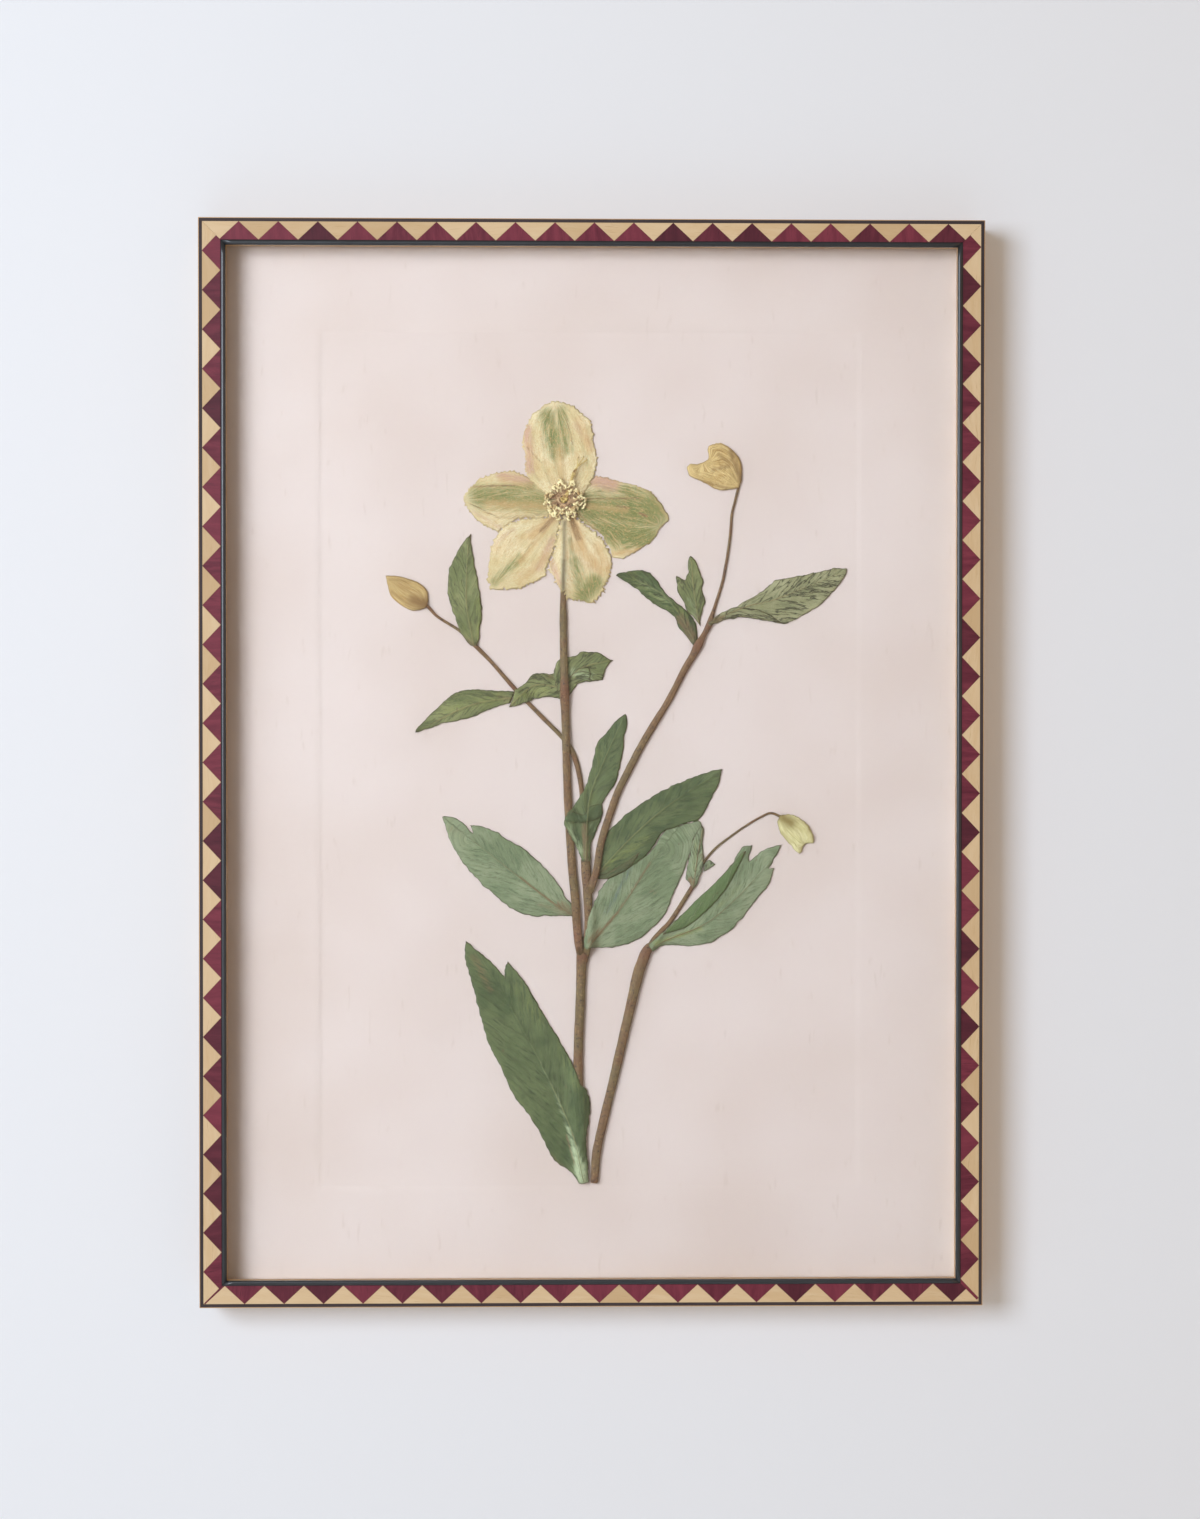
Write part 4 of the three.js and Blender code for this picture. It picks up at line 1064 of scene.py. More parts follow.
def makeSepal(name, plan, seed, material):
    look = sepalLook
    rib = spline(drawn(plan["rib"]), 1 * mm)
    rim = closedOutline(plan["edges"], look["step"] * mm)
    rim = ragged(rim, look["ragged"] * mm, look["raggedSize"] * mm, seed)
    rim = ragged(rim, plan["frill"] * mm, look["frillSize"] * mm, seed + 5)
    window, over = drapeOver(rim)

    def surfaces(points, edge, along, across):
        inner = np.clip(edge / (look["margin"] * mm), 0, 1)
        turns = sideShare(across, edge) * look["pleats"] + 2 * roughness(points, 9 * mm, seed)
        rise = look["lift"] + (look["pleat"] * np.cos(turns) * inner + cockled(points, look, seed, 4)) * inner
        back = sampled(window, over, points) + rise * mm + curlUp(points, edge, look, seed + 30)
        back = np.maximum(back, look["touch"] * mm)
        return back + look["thickness"] * (0.4 + 0.6 * inner) * mm, back

    made = layer(rim, look["spacing"] * mm, rib, surfaces)
    for key in ("green", "tan", "pink", "brown", "under"):
        made[key] = painted(made["flat"], plan["paint"].get(key, []))
    settle(made["flat"][:len(made["front"])], made["front"])
    keys = ("edge", "green", "tan", "pink", "brown", "under")
    return hand(joinLayers(name.replace("_", "."), [made], material, keys), "sepal_tissue", name)


# Buds
budLook = {
    "gold": {"base": (188, 152, 90), "light": (222, 196, 138), "deep": (134, 98, 54)},
    "pale": {"base": (206, 194, 132), "light": (236, 226, 176), "deep": (148, 128, 72)},
    "thickness": 2.1, "thinnest": 0.12, "sink": 0.4, "hem": 0.3, "frillSize": 0.9,
    "lift": 0.05, "step": 0.3, "spacing": 0.4,
}

buds = {
    "bud_left": {
        "kind": "gold",
        "frill": 0.12,
        "stripes": 15,
        "wrinkle": 0.1,
        "edges": [
            [396, 576, 405.6, 578, 417, 582, 424, 587, 427.6, 592], [428, 598, 427.6, 604, 425.5, 608],
            [416, 610.5, 409, 609.5, 399.5, 604, 391, 596, 388, 586.5, 385.7, 575.8],
        ],
        "rib": [426, 605, 406, 593, 387, 577],
        "deep": [
            [414, 600, 427, 605, 8, 0.9], [390, 580, 412, 581, 2, 0.5], [392, 592, 410, 606, 2, 0.5],
            [398, 584, 418, 598, 12, 0.3],
        ],
    },
    "bud_top_right": {
        "kind": "gold",
        "frill": 0.15,
        "stripes": 7,
        "wrinkle": 0.22,
        "edges": [
            [690, 463.6, 696, 464, 705, 461, 708, 457, 707, 450, 708, 446],
            [713, 444, 720, 443, 728, 447, 735.5, 454, 740, 461.5, 741, 471.5, 740.5, 481, 738, 487.6],
            [729, 489, 721, 490, 713, 488, 706.5, 484, 698, 480, 689, 475.6, 686, 467],
        ],
        "rib": [738, 486, 724, 468, 700, 462],
        "deep": [
            [730, 452, 740, 480, 3, 0.7], [712, 470, 728, 466, 2, 0.5], [696, 480, 725, 488, 2, 0.5],
            [718, 455, 728, 462, 2, 0.5],
        ],
    },
    "bud_lower_right": {
        "kind": "pale",
        "frill": 0.3,
        "stripes": 9,
        "wrinkle": 0.12,
        "edges": [
            [788, 813.7, 795, 815, 801, 819, 808, 825, 812, 832, 814, 838],
            [813, 843, 807, 843, 803, 846.4, 802, 851, 798.7, 853],
            [795, 850, 791, 845, 784.6, 838, 779.6, 831, 777.5, 822, 779.6, 815],
        ],
        "rib": [779, 816, 793, 829, 806, 846],
        "deep": [[779, 815, 790, 822, 7, 1.0], [782, 832, 790, 842, 2, 0.4], [800, 818, 810, 830, 2, 0.4]],
    },
}


def budMaterial(kind):
    look = budLook[kind]
    skin = Shader(f"bud {kind}")
    fan = skin.grain(skin.grown(), 14, (0.9, 3.2, 1), detail=9, rough=0.75, twist=0.7)
    fine = skin.grain(skin.place(), 1600, detail=8, rough=0.7)
    skin.base(fan, 0.42, 0.6, look["base"], look["light"])
    skin.tint(look["deep"], fan, 0.46, 0.34, 0.85)
    skin.tint(look["deep"], fine, 0.46, 0.34, 0.4)
    skin.cover(look["deep"], skin.held("deep"))
    skin.tint(look["deep"], skin.held("edge"), 0.4 * mm, 0.0, 0.5)
    return skin.finish(fine, (0.5, 0.8), skin.plus(fan, skin.times(fine, 0.6)), 0.4, 0.9, 0.3)


def makeBud(name, plan, seed, material):
    look = budLook
    rim = closedOutline(plan["edges"], look["step"] * mm)
    rim = ragged(rim, plan["frill"] * mm, look["frillSize"] * mm, seed)
    window, over = drapeOver(rim)

    def surfaces(points, edge, along, across):
        dome = np.sqrt(np.clip(1 - (1 - edge / edge.max()) ** 2, 0, 1))
        folds = np.cos(sideShare(across, edge) * plan["stripes"] + 3 * roughness(points, 4 * mm, seed))
        pits = 0.9 * roughness(points, 1.5 * mm, seed + 8)
        back = sampled(window, over, points) * look["sink"] + (look["lift"] + look["hem"] * (1 - dome)) * mm
        body = look["thickness"] * (0.1 + 0.75 * dome) + plan["wrinkle"] * (folds + pits) * dome
        return back + np.maximum(body, look["thinnest"]) * mm, back

    made = layer(rim, look["spacing"] * mm, spline(drawn(plan["rib"]), 1 * mm), surfaces)
    made["deep"] = painted(made["flat"], plan["deep"])
    return hand(joinLayers(name.replace("_", "."), [made], material, ("edge", "deep")), "bud_tissue", name)


stemSkin = stemMaterial()
leafMaterials = {kind: leafMaterial(kind) for kind in ("dark", "grey", "olive", "sage")}
petalSkin = sepalMaterial()
budMaterials = {kind: budMaterial(kind) for kind in ("gold", "pale")}

for number, name in enumerate(["main_stem", "side_stem", "side_branch", "left_branch", "middle_stem"]):
    makeStem(name, 90 + 2.1 * number, stemSkin)
for number, (name, plan) in enumerate(leaves.items()):
    makeLeaf(name, plan, 3.7 * number + 1)
makeStem("flower_stem", 103, stemSkin)
stage("lower stems and leaves")
for number, (name, plan) in enumerate(sepals.items()):
    makeSepal(name, plan, 61 + 5.3 * number, petalSkin)
stage("petals")
makeStem("right_branch", 105.1, stemSkin)
for number, (name, plan) in enumerate(upperLeaves.items()):
    makeLeaf(name, plan, 50 + 3.7 * number)
for number, (name, plan) in enumerate(buds.items()):
    makeBud(name, plan, 120 + 4.7 * number, budMaterials[plan["kind"]])
stage("upper stems, leaves and buds")

# Stamens and styles
heart = {
    "centre": [563.5, 500], "disc": [2.2, 0.75, 0.35, 25],
    "count": 112, "rounds": 3, "inner": 1.6, "reach": 8.2, "squash": 0.94, "bearing": 0.85,
    "filament": 0.14, "curl": 0.85, "anther": [0.18, 0.42, 0.48, 0.44, 0.42, 0.32, 0.14],
    "styleTips": [[586.7, 460], [583.4, 457], [577.6, 457]], "styleRadii": [0.36, 0.26, 0.16, 0.24],
    "ovary": [1.3, 0.7, 0.6],
    "cream": (234, 218, 166), "shade": (184, 148, 96), "style": (206, 178, 108), "styleTip": (140, 104, 62),
    "thread": (190, 156, 116), "threadDark": (134, 96, 68),
}
heartHeight = pile[gridWindow(onPaper([[556, 492], [571, 508]]), 0)].max()


def tissueMaterial(name, light, shade):
    tissue = Shader(name)
    place = tissue.place()
    fine = tissue.grain(place, 2400, detail=6, rough=0.7)
    tissue.base(tissue.grain(place, 380, detail=4), 0.42, 0.66, light, shade)
    return tissue.finish(fine, (0.55, 0.8), fine, 0.06, 0.8, 0.3)


def ring(centre, across, up, wide, high, sides):
    turns = [2 * math.pi * j / sides for j in range(sides)]
    return [centre + across * math.cos(a) * wide + up * math.sin(a) * high for a in turns]


def addTube(part, points, radii, sides):
    # A round tube through the points, added to the vertices and faces of a part
    vertices, faces = part
    points = [Vector(p) for p in points]
    faces += ringFaces(len(points), sides, len(vertices))
    for k, p in enumerate(points):
        way = (points[min(k + 1, len(points) - 1)] - points[max(k - 1, 0)]).normalized()
        side = way.cross(Vector((0, 0, 1)))
        side = side.normalized() if side.length > 1e-6 else Vector((1, 0, 0))
        vertices += ring(p, side, side.cross(way), radii[k], radii[k], sides)


def addLobe(part, centre, way, size, rings, sides):
    # A blunt lobe, widest in its middle
    vertices, faces = part
    side = way.cross(Vector((0, 0, 1))).normalized()
    length, width, depth = (s * mm for s in size)
    faces += ringFaces(rings, sides, len(vertices))
    for k in range(rings):
        share = k / (rings - 1)
        swell = math.sin(math.pi * (0.06 + 0.88 * share)) ** 0.6
        middle = centre + way * (share - 0.5) * 2 * length
        vertices += ring(middle, side, side.cross(way), width * swell, depth * swell, sides)


def roundHeart(radius, turn, height, squash=1.0):
    # A point round the middle of the flower, at a height over its petals, in millimetres
    x, y = onPaper(heart["centre"])
    right, up = radius * mm * math.cos(turn), squash * radius * mm * math.sin(turn)
    return Vector((x + right, y + up, heartHeight + height * mm))


def handPart(name, part, material, slot, node):
    vertices, faces = part
    hand(buildObject(name, [standUp(*v) for v in vertices], faces, material), slot, node)


def makeStamens():
    threads, anthers = ([], []), ([], [])
    radius, thickness, height, count = heart["disc"]
    disc = [roundHeart(radius, a, height) for a in np.linspace(0, 2 * math.pi, count)]
    addTube(threads, disc, [thickness * mm] * count, 8)
    for i in range(heart["count"]):
        turn = 2 * math.pi * (i + random.uniform(-0.5, 0.5)) / heart["count"] * heart["rounds"]
        far = heart["reach"] * math.sqrt(random.uniform(0.2, 1.0))
        lift = random.uniform(0.7, 2.0)
        bend = turn + random.uniform(-0.35, 0.35)
        root, tip = roundHeart(heart["inner"], turn, 0.5), roundHeart(far, bend, lift, heart["squash"])
        side = Vector((-math.sin(turn), math.cos(turn), 0)) * random.uniform(-1.2, 1.2) * mm
        knee = root.lerp(tip, 0.5) + side + Vector((0, 0, random.uniform(0.1, 0.6) * mm))
        points = [root.lerp(knee, t).lerp(knee.lerp(tip, t), t) for t in np.linspace(0, 1, 8)]
        addTube(threads, points, [heart["filament"] * mm] * 8, 6)
        if random.random() < heart["bearing"]:
            # Each anther has curled up as it dried
            spin, size = random.uniform(0, 2 * math.pi), random.uniform(0.8, 1.2)
            opening = random.choice((-1, 1)) * random.uniform(2.0, 3.6)
            curl = heart["curl"] * size * mm
            turns = np.linspace(spin, spin + opening, len(heart["anther"]))
            loop = [tip + Vector((math.cos(a), math.sin(a), 0.25 * math.sin(a + bend))) * curl for a in turns]
            addTube(anthers, loop, [r * size * mm for r in heart["anther"]], 8)
    threadSkin = tissueMaterial("filament", heart["thread"], heart["threadDark"])
    antherSkin = tissueMaterial("anther", heart["cream"], heart["shade"])
    handPart("stamens.threads", threads, threadSkin, "stamen_tissue", "stamens")
    handPart("stamens.anthers", anthers, antherSkin, "stamen_tissue", "stamens")


def makeCarpels():
    part = ([], [])
    low = heartHeight / mm
    for i, tip in enumerate(heart["styleTips"]):
        # Three long styles lie on the top petal
        stations = [[564 + i, 499, low + 0.9], [569 + i / 2, 484, low + 1.1], [574 + i, 470, low + 0.9],
                    [*tip, low + 0.4]]
        line = spline([[*onPaper(s[:2]), s[2] * mm] for s in stations], 0.6 * mm)
        radii = np.interp(np.linspace(0, 1, len(line)), [0, 0.3, 0.9, 1], heart["styleRadii"]) * mm
        addTube(part, [(u, v, h + r) for (u, v, h), r in zip(line, radii)], radii.tolist(), 10)
    for turn in np.linspace(0, 2 * math.pi, 4, endpoint=False):
        way = Vector((math.cos(turn) * 0.4, math.sin(turn) * 0.4 + 0.5, 0.5)).normalized()
        addLobe(part, roundHeart(0.7, turn, 1.0), way, heart["ovary"], 9, 14)
    styleSkin = tissueMaterial("style", heart["style"], heart["styleTip"])
    handPart("carpels.styles", part, styleSkin, "carpel_tissue", "carpels")


makeStamens()
makeCarpels()
stage("heart of the flower")

# The frame
sides = ["top", "right", "bottom", "left"]
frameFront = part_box("banding_top")[0][1]
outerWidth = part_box("rail_right")[1][0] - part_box("rail_left")[0][0]
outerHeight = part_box("rail_top")[1][2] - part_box("rail_bottom")[0][2]
frontHeight = paperFront - frameFront

moulding = {
    "face": 10.8, "wall": 5.2, "depth": 21.0, "lip": 2.9, "veneer": 0.8, "rim": 0.3, "line": 1.25,
    "beadWidth": 1.95, "beadGap": 0.05, "beadSunk": 0.1, "beadRise": 0.6, "arris": 0.25,
    "bevel": [0.12, 0.15], "gap": 0.3, "mitre": 0.02,
    "wood": [(204, 162, 114), (156, 112, 68), (222, 188, 146)],
    "dyed": [(50, 38, 38), (28, 19, 20), (74, 62, 62)],
    "lacquer": [(24, 28, 32), (10, 11, 13), (44, 52, 60)],
}


def onSide(turn, along, inset, height):
    # A point of one side of the frame: how far along it, how far in from its outer edge, how high
    x, y = along, (outerWidth if turn % 2 else outerHeight) / 2 - inset
    for _ in range(turn):
        x, y = y, -x
    return standUp(x, y, height)


def sideLength(turn):
    return outerHeight if turn % 2 else outerWidth


def sideBars(name, profile, material, slot, nodes, smooth=False, pieces=90):
    # The same mitred profile on all four sides, as four pieces. It holds [distance in, height] pairs.
    for turn, side in enumerate(sides):
        vertices, uv = [], []
        for share in (1 - 2 * k / pieces for k in range(pieces + 1)):
            for j, (inset, height) in enumerate(profile):
                along = share * (sideLength(turn) / 2 - (inset + moulding["mitre"]) * mm)
                vertices.append(onSide(turn, along, inset * mm, height * mm))
                uv.append((along * 10, j / len(profile) + 0.37 * turn))
        made = buildObject(f"{name}.{side}", vertices, ringFaces(pieces + 1, len(profile)), material, uv)
        if not smooth:
            made.data.shade_flat()
        hand(made, slot, f"{nodes}_{side}")


def woodMaterial(name, base, dark, pale, gloss=(0.45, 0.65), coat=0.0):
    wood = Shader(name)
    grown = wood.grown()
    grain = wood.grain(grown, 14, (0.35, 1.6, 1.0), detail=9, rough=0.7, twist=0.4)
    pores = wood.grain(grown, 130, (0.12, 2.2, 1.0), detail=5, rough=0.7)
    wood.base(grain, 0.35, 0.68, base, pale)
    wood.tint(dark, pores, 0.42, 0.3)
    wood.tint(dark, wood.grain(wood.place(), 9, detail=3), 0.4, 0.7, 0.4)
    wood.set({"Coat Weight": coat, "Coat Roughness": 0.2})
    return wood.finish(pores, gloss, wood.plus(grain, pores), 0.06, 0.6)


railWood = woodMaterial("rail wood", *moulding["wood"])
lineWood = woodMaterial("dark line", *moulding["dyed"], (0.6, 0.8))
beadWood = woodMaterial("bead", *moulding["lacquer"], (0.3, 0.42), 0.5)

front = frontHeight / mm
rear = front - moulding["depth"]
bed = front - moulding["veneer"]
lipBack = bed - moulding["gap"] - moulding["lip"]
arris = moulding["arris"]
railProfile = [
    [0, rear + arris], [arris, rear], [moulding["wall"], rear], [moulding["wall"], lipBack],
    [moulding["face"], lipBack], [moulding["face"], bed], [moulding["rim"], bed], [moulding["rim"], front],
    [moulding["bevel"][0], front], [0, front - moulding["bevel"][1]],
]
sideBars("rail", railProfile, railWood, "rail_wood", "rail")

lineFrom, lineTo = moulding["rim"], moulding["rim"] + moulding["line"]
lineProfile = [[lineFrom, bed], [lineTo, bed], [lineTo, front], [lineFrom, front]]
sideBars("line", lineProfile, lineWood, "dark_line", "outer_line")

beadFrom = moulding["face"] - moulding["beadWidth"] - moulding["beadGap"]
radius = (moulding["face"] - beadFrom) / 2
beadProfile = [[beadFrom, bed], [moulding["face"], bed]]
for angle in np.linspace(0, math.pi, 13).tolist():
    crown = front - moulding["beadSunk"] + moulding["beadRise"] * math.sin(angle)
    beadProfile.append([moulding["face"] - radius * (1 - math.cos(angle)), crown])
sideBars("bead", beadProfile, beadWood, "bead_lacquer", "inner_bead", smooth=True)
stage("rails, lines and beads")

# The inlay: a row of triangles on each side, cut from two veneers
inlay = {
    "tan": (220, 190, 146), "tanDark": (200, 168, 124), "tanPale": (228, 202, 162),
    "plum": (102, 34, 52), "plumDark": (58, 20, 32), "plumPale": (132, 54, 70),
    "glue": (58, 42, 36), "glueDark": (34, 24, 20), "gluePale": (80, 60, 50),
    "joint": 0.045, "chamfer": 0.05, "mitre": 0.03, "bedding": 0.12, "uneven": (-0.015, 0.01),
    "grains": [0.0, 0.12, -0.12, 0.05], "crumb": 0.05,
    # where the first plum tip lies along each side, from its middle, and the pitch, in millimetres
    "top": {"first": -139.5, "pitch": 15.58}, "right": {"first": -204.9, "pitch": 15.46},
    "bottom": {"first": -143.5, "pitch": 15.62}, "left": {"first": -201.1, "pitch": 15.52},
}


def veneerMaterial(name, base, dark, pale):
    wood = Shader(name)
    grown, shade = wood.grown(), wood.held("shade")
    grain = wood.grain(grown, 12, (0.4, 2.6, 1.0), detail=8, rough=0.7, twist=0.3)
    pores = wood.grain(grown, 90, (0.12, 2.4, 1.0), detail=4, rough=0.7)
    wood.base(grain, 0.35, 0.68, base, pale)
    wood.tint(dark, pores, 0.44, 0.3)
    # Each triangle has a shade of its own
    wood.tint(dark, shade, 0.45, 1.0, 0.65)
    wood.tint(pale, shade, 0.55, 0.0, 0.5)
    return wood.finish(pores, (0.42, 0.58), wood.plus(grain, pores), 0.03, 0.5, 0.3)


def clip(polygon, inside):
    # Keeps the part of a convex polygon on the inner side of a line
    kept = []
    for here, there in zip(polygon, polygon[1:] + polygon[:1]):
        a, b = inside(here), inside(there)
        if a >= 0:
            kept.append(here)
        if (a >= 0) != (b >= 0):
            kept.append(tuple(h + (t - h) * a / (a - b) for h, t in zip(here, there)))
    return kept


def doubleArea(polygon):
    return sum(a[0] * b[1] - b[0] * a[1] for a, b in zip(polygon, polygon[1:] + polygon[:1]))


def shrunk(polygon, by):
    # Moves every side of a convex polygon inwards
    kept = list(polygon)
    sign = 1 if doubleArea(polygon) > 0 else -1
    for here, there in zip(polygon, polygon[1:] + polygon[:1]):
        run = (there[0] - here[0], there[1] - here[1])
        length = math.hypot(*run)
        if kept and length > 1e-9:
            nx, ny = -run[1] / length * sign, run[0] / length * sign
            limit = nx * here[0] + ny * here[1] + by
            kept = clip(kept, lambda p: p[0] * nx + p[1] * ny - limit)
    return kept


bandFrom, bandTo = lineTo, beadFrom
veneers = [
    veneerMaterial("tan veneer", inlay["tan"], inlay["tanDark"], inlay["tanPale"]),
    veneerMaterial("plum veneer", inlay["plum"], inlay["plumDark"], inlay["plumPale"]),
    woodMaterial("inlay bed", inlay["glue"], inlay["glueDark"], inlay["gluePale"]),
]


def prism(polygon, low, high, chamfer):
    inner = shrunk(polygon, chamfer)
    if len(inner) != len(polygon):
        inner, chamfer = polygon, 0
    count = len(polygon)
    levels = (polygon, low), (polygon, high - chamfer), (inner, high)
    vertices = [(*p, level) for corners, level in levels for p in corners]
    faces = [tuple(reversed(range(count))), tuple(2 * count + j for j in range(count))]
    for j in range(count):
        n = (j + 1) % count
        faces.append((j, n, n + count, j + count))
        faces.append((j + count, n + count, n + 2 * count, j + 2 * count))
    return vertices, faces


def makeBanding(turn, side):
    half = sideLength(turn) / 2 / mm
    pitch, first = inlay[side]["pitch"], inlay[side]["first"]
    vertices, faces, uv, shades, slots = [], [], [], [], []

    def push(polygon, low, high, slot, shade, grain, chamfer):
        area = doubleArea(polygon)
        if abs(area) < inlay["crumb"]:
            return
        # Turned so that its faces look out, since the distance in runs against the height of the picture
        if area > 0:
            polygon = polygon[::-1]
        start = len(vertices)
        corners, sidesMade = prism(polygon, low, high, chamfer)
        offset = random.uniform(0, 40)
        c, s = math.cos(grain), math.sin(grain)
        for along, inset, height in corners:
            vertices.append(onSide(turn, along * mm, inset * mm, height * mm))
            uv.append(((along * c + inset * s) * 0.01 + offset, (inset * c - along * s) * 0.01 + offset))
            shades.append(shade)
        for face in sidesMade:
            faces.append(tuple(start + i for i in face))
            slots.append(slot)

    low, high = half - bandFrom, half - bandTo
    bedding = [(-low, bandFrom), (low, bandFrom), (high, bandTo), (-high, bandTo)]
    push(bedding, bed, front - inlay["bedding"], 2, 0.5, 0, 0)
    for i in range(-2, int(2 * half / pitch) + 4):
        tip = first + i * pitch
        for slot, foot, point in ((1, bandTo, bandFrom), (0, bandFrom, bandTo)):
            apex = tip if slot else tip + pitch / 2
            corners = [(apex - pitch / 2, foot), (apex + pitch / 2, foot), (apex, point)]
            polygon = shrunk(corners, inlay["joint"] / 2)
            # Cut off at the mitres
            for way in (1, -1):
                if polygon:
                    polygon = clip(polygon, lambda p: half - p[1] + way * p[0] - inlay["mitre"])
            if len(polygon) > 2:
                grain = random.choice(inlay["grains"]) + (math.pi / 2 if slot else 0)
                push(polygon, bed, front + random.uniform(*inlay["uneven"]), slot, random.random(), grain,
                     inlay["chamfer"])
    made = buildObject(f"banding.{side}", vertices, faces, veneers, uv, {"shade": shades})
    made.data.shade_flat()
    made.data.polygons.foreach_set("material_index", slots)
    made.data.update()
    return hand(made, "banding_veneer", f"banding_{side}")


for turn, side in enumerate(sides):
    makeBanding(turn, side)
stage("inlay")

# Paper, glass and back
paper = {
    "colour": (216, 199, 190), "shade": (209, 190, 179), "fleck": (190, 168, 152),
    "plate": [319, 330, 860, 1190], "emboss": 0.17, "bevel": 1.1, "thickness": 0.5, "wave": 0.05,
    "sunk": 0.06,
}


backing = {
    "board": (120, 88, 60), "boardPale": (158, 124, 90), "boardDark": (100, 70, 48),
    "steel": (196, 196, 190), "steelStain": (160, 158, 150),
    "spacer": (214, 190, 150), "spacerDark": (176, 146, 104), "spacerPale": (232, 212, 178),
    "spacerGap": 0.3, "spacerWidth": 3.8, "spacerBack": 0.3, "spacerFront": 5.8,
}


def paperMaterial():
    sheet = Shader("cotton paper")
    place = sheet.place()
    tooth = sheet.grain(place, 1400, detail=2, rough=0.65)
    sheet.base(sheet.grain(place, 12, detail=2), 0.3, 0.75, paper["colour"], paper["shade"])
    sheet.tint(paper["fleck"], sheet.grain(place, 420, (1, 1, 0.25), detail=2), 0.64, 0.76, 0.25)
    return sheet.finish(tooth, (0.82, 0.96), tooth, 0.05, 0.6, 0.2)


def makePaper():
    # The plate has pressed its rectangle into the sheet
    left, top, right, bottom = drawn(paper["plate"]).ravel()
    wide, high = (paperHigh[0] - paperLow[0]) / 2, (paperHigh[2] - paperLow[2]) / 2
    bevel = paper["bevel"] * mm

    def marks(end, inLow, inHigh):
        # Even marks across the sheet, and closer ones where the plate's edge slopes
        near = [inLow, inLow + bevel, inLow + bevel * 2, inHigh - bevel * 2, inHigh - bevel, inHigh]
        return np.unique(np.concatenate([np.linspace(-end, end, 90), near]))

    def height(x, y):
        inside = min(x - left, right - x, y - bottom, top - y)
        press = paper["emboss"] * min(1, max(0, inside / bevel))
        return (paper["wave"] * noise.noise(Vector((x * 14, y * 14, 3))) - press - paper["sunk"]) * mm

    places = [(x, y) for y in marks(high, bottom, top) for x in marks(wide, left, right)]
    columns = len(marks(wide, left, right))
    count = len(places)
    vertices = [standUp(x, y, height(x, y)) for x, y in places]
    vertices += [standUp(x, y, -paper["thickness"] * mm) for x, y in places]
    uv = [(x * 10, y * 10) for x, y in places] * 2
    grid = np.arange(count).reshape(-1, columns).tolist()
    faces = []
    for near, far in zip(grid, grid[1:]):
        for a, b, c, d in zip(near, near[1:], far[1:], far):
            faces.append((a, b, c, d))
            faces.append((d + count, c + count, b + count, a + count))
    rim = grid[0] + [row[-1] for row in grid[1:]] + grid[-1][-2::-1] + [row[0] for row in grid[-2:0:-1]]
    faces += [(a, a + count, b + count, b) for a, b in zip(rim, rim[1:] + rim[:1])]
    made = buildObject("sheet.paper", vertices, faces, paperMaterial(), uv)
    return hand(made, "sheet_paper", "mount_sheet")


def glassMaterial():
    pane = Shader("clear glass")
    pane.set({"Base Color": rgb(252, 254, 253), "Roughness": 0.0, "IOR": 1.5, "Transmission Weight": 1.0})
    # Lamps shine through the pane
    return pane.openTo(pane.add("LightPath")["Is Shadow Ray"], (0.9, 0.9, 0.9, 1))


def boardMaterial():
    board = Shader("fibreboard")
    place = board.place()
    fibres = board.grain(place, 500, detail=8, rough=0.75)
    board.base(fibres, 0.35, 0.65, backing["board"], backing["boardPale"])
    board.tint(backing["boardDark"], board.grain(place, 18, detail=4), 0.4, 0.7, 0.35)
    return board.finish(fibres, (0.6, 0.85), fibres, 0.08, 0.7)


def steelMaterial():
    metal = Shader("zinc plated steel")
    place = metal.place()
    brushed = metal.grain(place, 900, (0.08, 1, 1), detail=6)
    metal.base(metal.grain(place, 130, detail=4), 0.35, 0.7, backing["steel"], backing["steelStain"])
    metal.set({"Metallic": 1.0})
    return metal.finish(brushed, (0.25, 0.5), brushed, 0.02, 0.4)


makePaper()
spacerWood = woodMaterial("spacer wood", backing["spacer"], backing["spacerDark"], backing["spacerPale"])
steel = steelMaterial()
kept = {"glass": glassMaterial(), "backing_board": boardMaterial(), "sawtooth_hanger": steel}
kept.update({f"back_point_{side}": steel for side in sides})
spacerFrom = moulding["wall"] + backing["spacerGap"]
spacerTo = spacerFrom + backing["spacerWidth"]
spacerProfile = [[spacerFrom, backing["spacerBack"]], [spacerTo, backing["spacerBack"]],
                 [spacerTo, backing["spacerFront"]], [spacerFrom, backing["spacerFront"]]]
sideBars("spacer", spacerProfile, spacerWood, "spacer_wood", "spacer")
for name, material in kept.items():
    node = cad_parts[name]
    for slot in node.material_slots:
        slot.material = material
stage("paper, glass and back")

# Wall, floor, light and camera
room = {
    "floor": (226, 224, 222), "wall": (243, 247, 251), "gap": 1, "cover": 4,
    "reach": 2.5, "low": -0.9, "top": 2.5, "floorReach": 1.4, "floorNear": -2, "floorFar": 1,
}
light = {
    "key": {"place": (-1.0, -1.58, 0.36), "size": 0.8, "power": 24, "colour": (0.79, 0.87, 1.0)},
    "fill": {"place": (1.5, -1.6, 0.2), "size": 1.6, "power": 4, "colour": (1.0, 0.45, 0.15)},
    "sky": {"colour": (1.0, 0.9, 0.75), "strength": 0.36},
}
target = Vector((middleX, frameFront, middleZ))


def addLamp(name, plan):
    data = bpy.data.lights.new(name, "AREA")
    data.shape = "SQUARE"
    data.size = plan["size"]
    data.energy = plan["power"]
    data.color = plan["colour"]
    lamp = bpy.data.objects.new(name, data)
    lamp.location = target + Vector(plan["place"])
    lamp.rotation_euler = (target - lamp.location).to_track_quat("-Z", "Y").to_euler()
    bpy.context.scene.collection.objects.link(lamp)


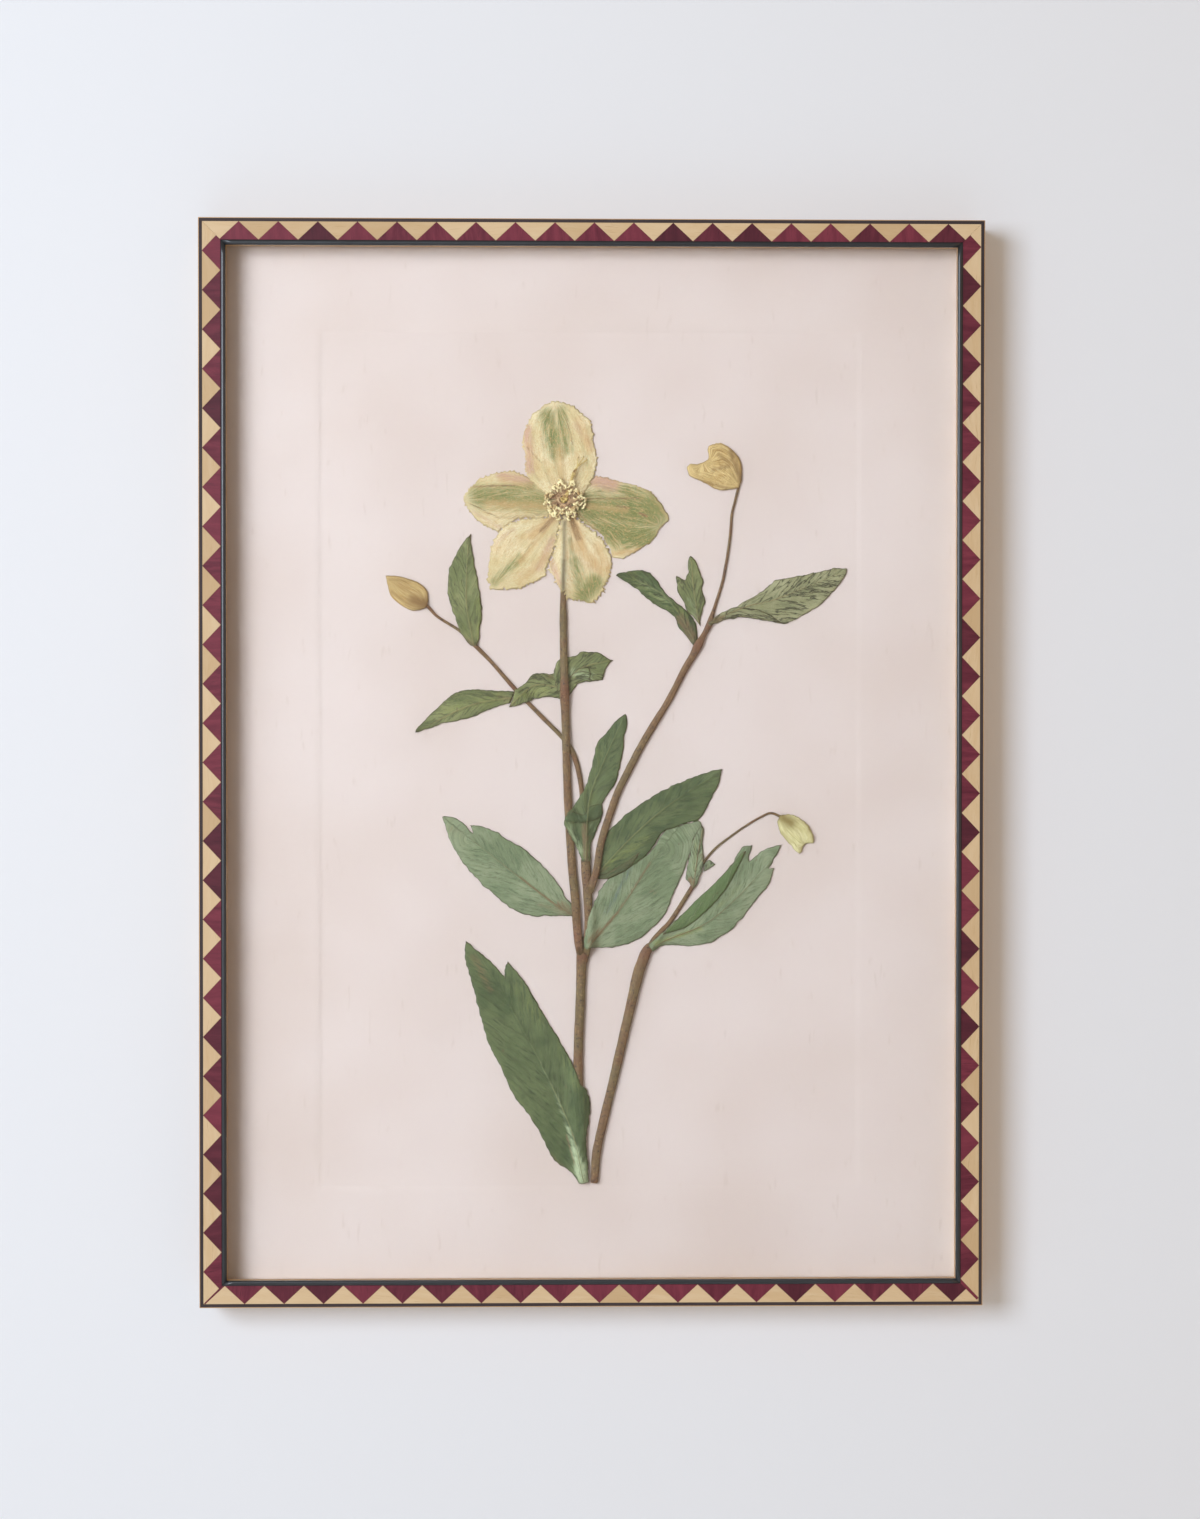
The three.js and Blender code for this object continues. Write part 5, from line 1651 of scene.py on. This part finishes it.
def addStage():
    addLamp("key", light["key"])
    addLamp("fill", light["fill"])
    world = bpy.data.worlds.new("studio")
    world.use_nodes = True
    sky = world.node_tree.nodes["Background"].inputs
    sky[0].default_value = (*light["sky"]["colour"], 1)
    sky[1].default_value = light["sky"]["strength"]
    bpy.context.scene.world = world
    paints = {}
    for name in ("floor", "wall"):
        paints[name] = Shader(name)
        paints[name].set({"Base Color": rgb(*room[name]), "Roughness": 0.9})
    # The wall is clear from behind and has an opening that the frame covers, so that the back is seen and lit
    paints["wall"].openTo(paints["wall"].add("NewGeometry")["Backfacing"])
    hung = cadBox[1][1] - frameFront + room["gap"] * mm
    wide, high = (size / 2 - room["cover"] * mm for size in (outerWidth, outerHeight))
    reach, low, top = room["reach"], room["low"], room["top"]
    wallCorners = [(-reach, hung, low), (reach, hung, low), (reach, hung, top), (-reach, hung, top),
                   (-wide, hung, -high), (wide, hung, -high), (wide, hung, high), (-wide, hung, high)]
    around = [(k, (k + 1) % 4, (k + 1) % 4 + 4, k + 4) for k in range(4)]
    across, near, far = room["floorReach"], room["floorNear"], room["floorFar"]
    floorCorners = [(-across, near, low), (across, near, low), (across, far, low), (-across, far, low)]
    for name, corners, faces in (("floor", floorCorners, [(0, 1, 2, 3)]), ("wall", wallCorners, around)):
        buildObject(name, [target + Vector(p) for p in corners], faces, paints[name].material)


def addCamera():
    # Solved from the four corners of the frame in the photograph, in millimetres, degrees and pixels
    view = {"from": (-23.3, -1202.7, 20.7), "turn": (89.103, -0.035, -1.253), "focal": 3038, "height": 1519,
            "sensor": 24}
    data = bpy.data.cameras.new("camera")
    data.sensor_fit = "VERTICAL"
    data.sensor_height = view["sensor"]
    data.lens = view["sensor"] * view["focal"] / view["height"]
    camera = bpy.data.objects.new("camera", data)
    camera.location = target + Vector(view["from"]) * mm
    camera.rotation_euler = Euler([math.radians(a) for a in view["turn"]])
    bpy.context.scene.collection.objects.link(camera)
    bpy.context.scene.camera = camera
    bpy.context.scene.view_settings.view_transform = "Standard"


addStage()
addCamera()
stage("lights, floor and camera")
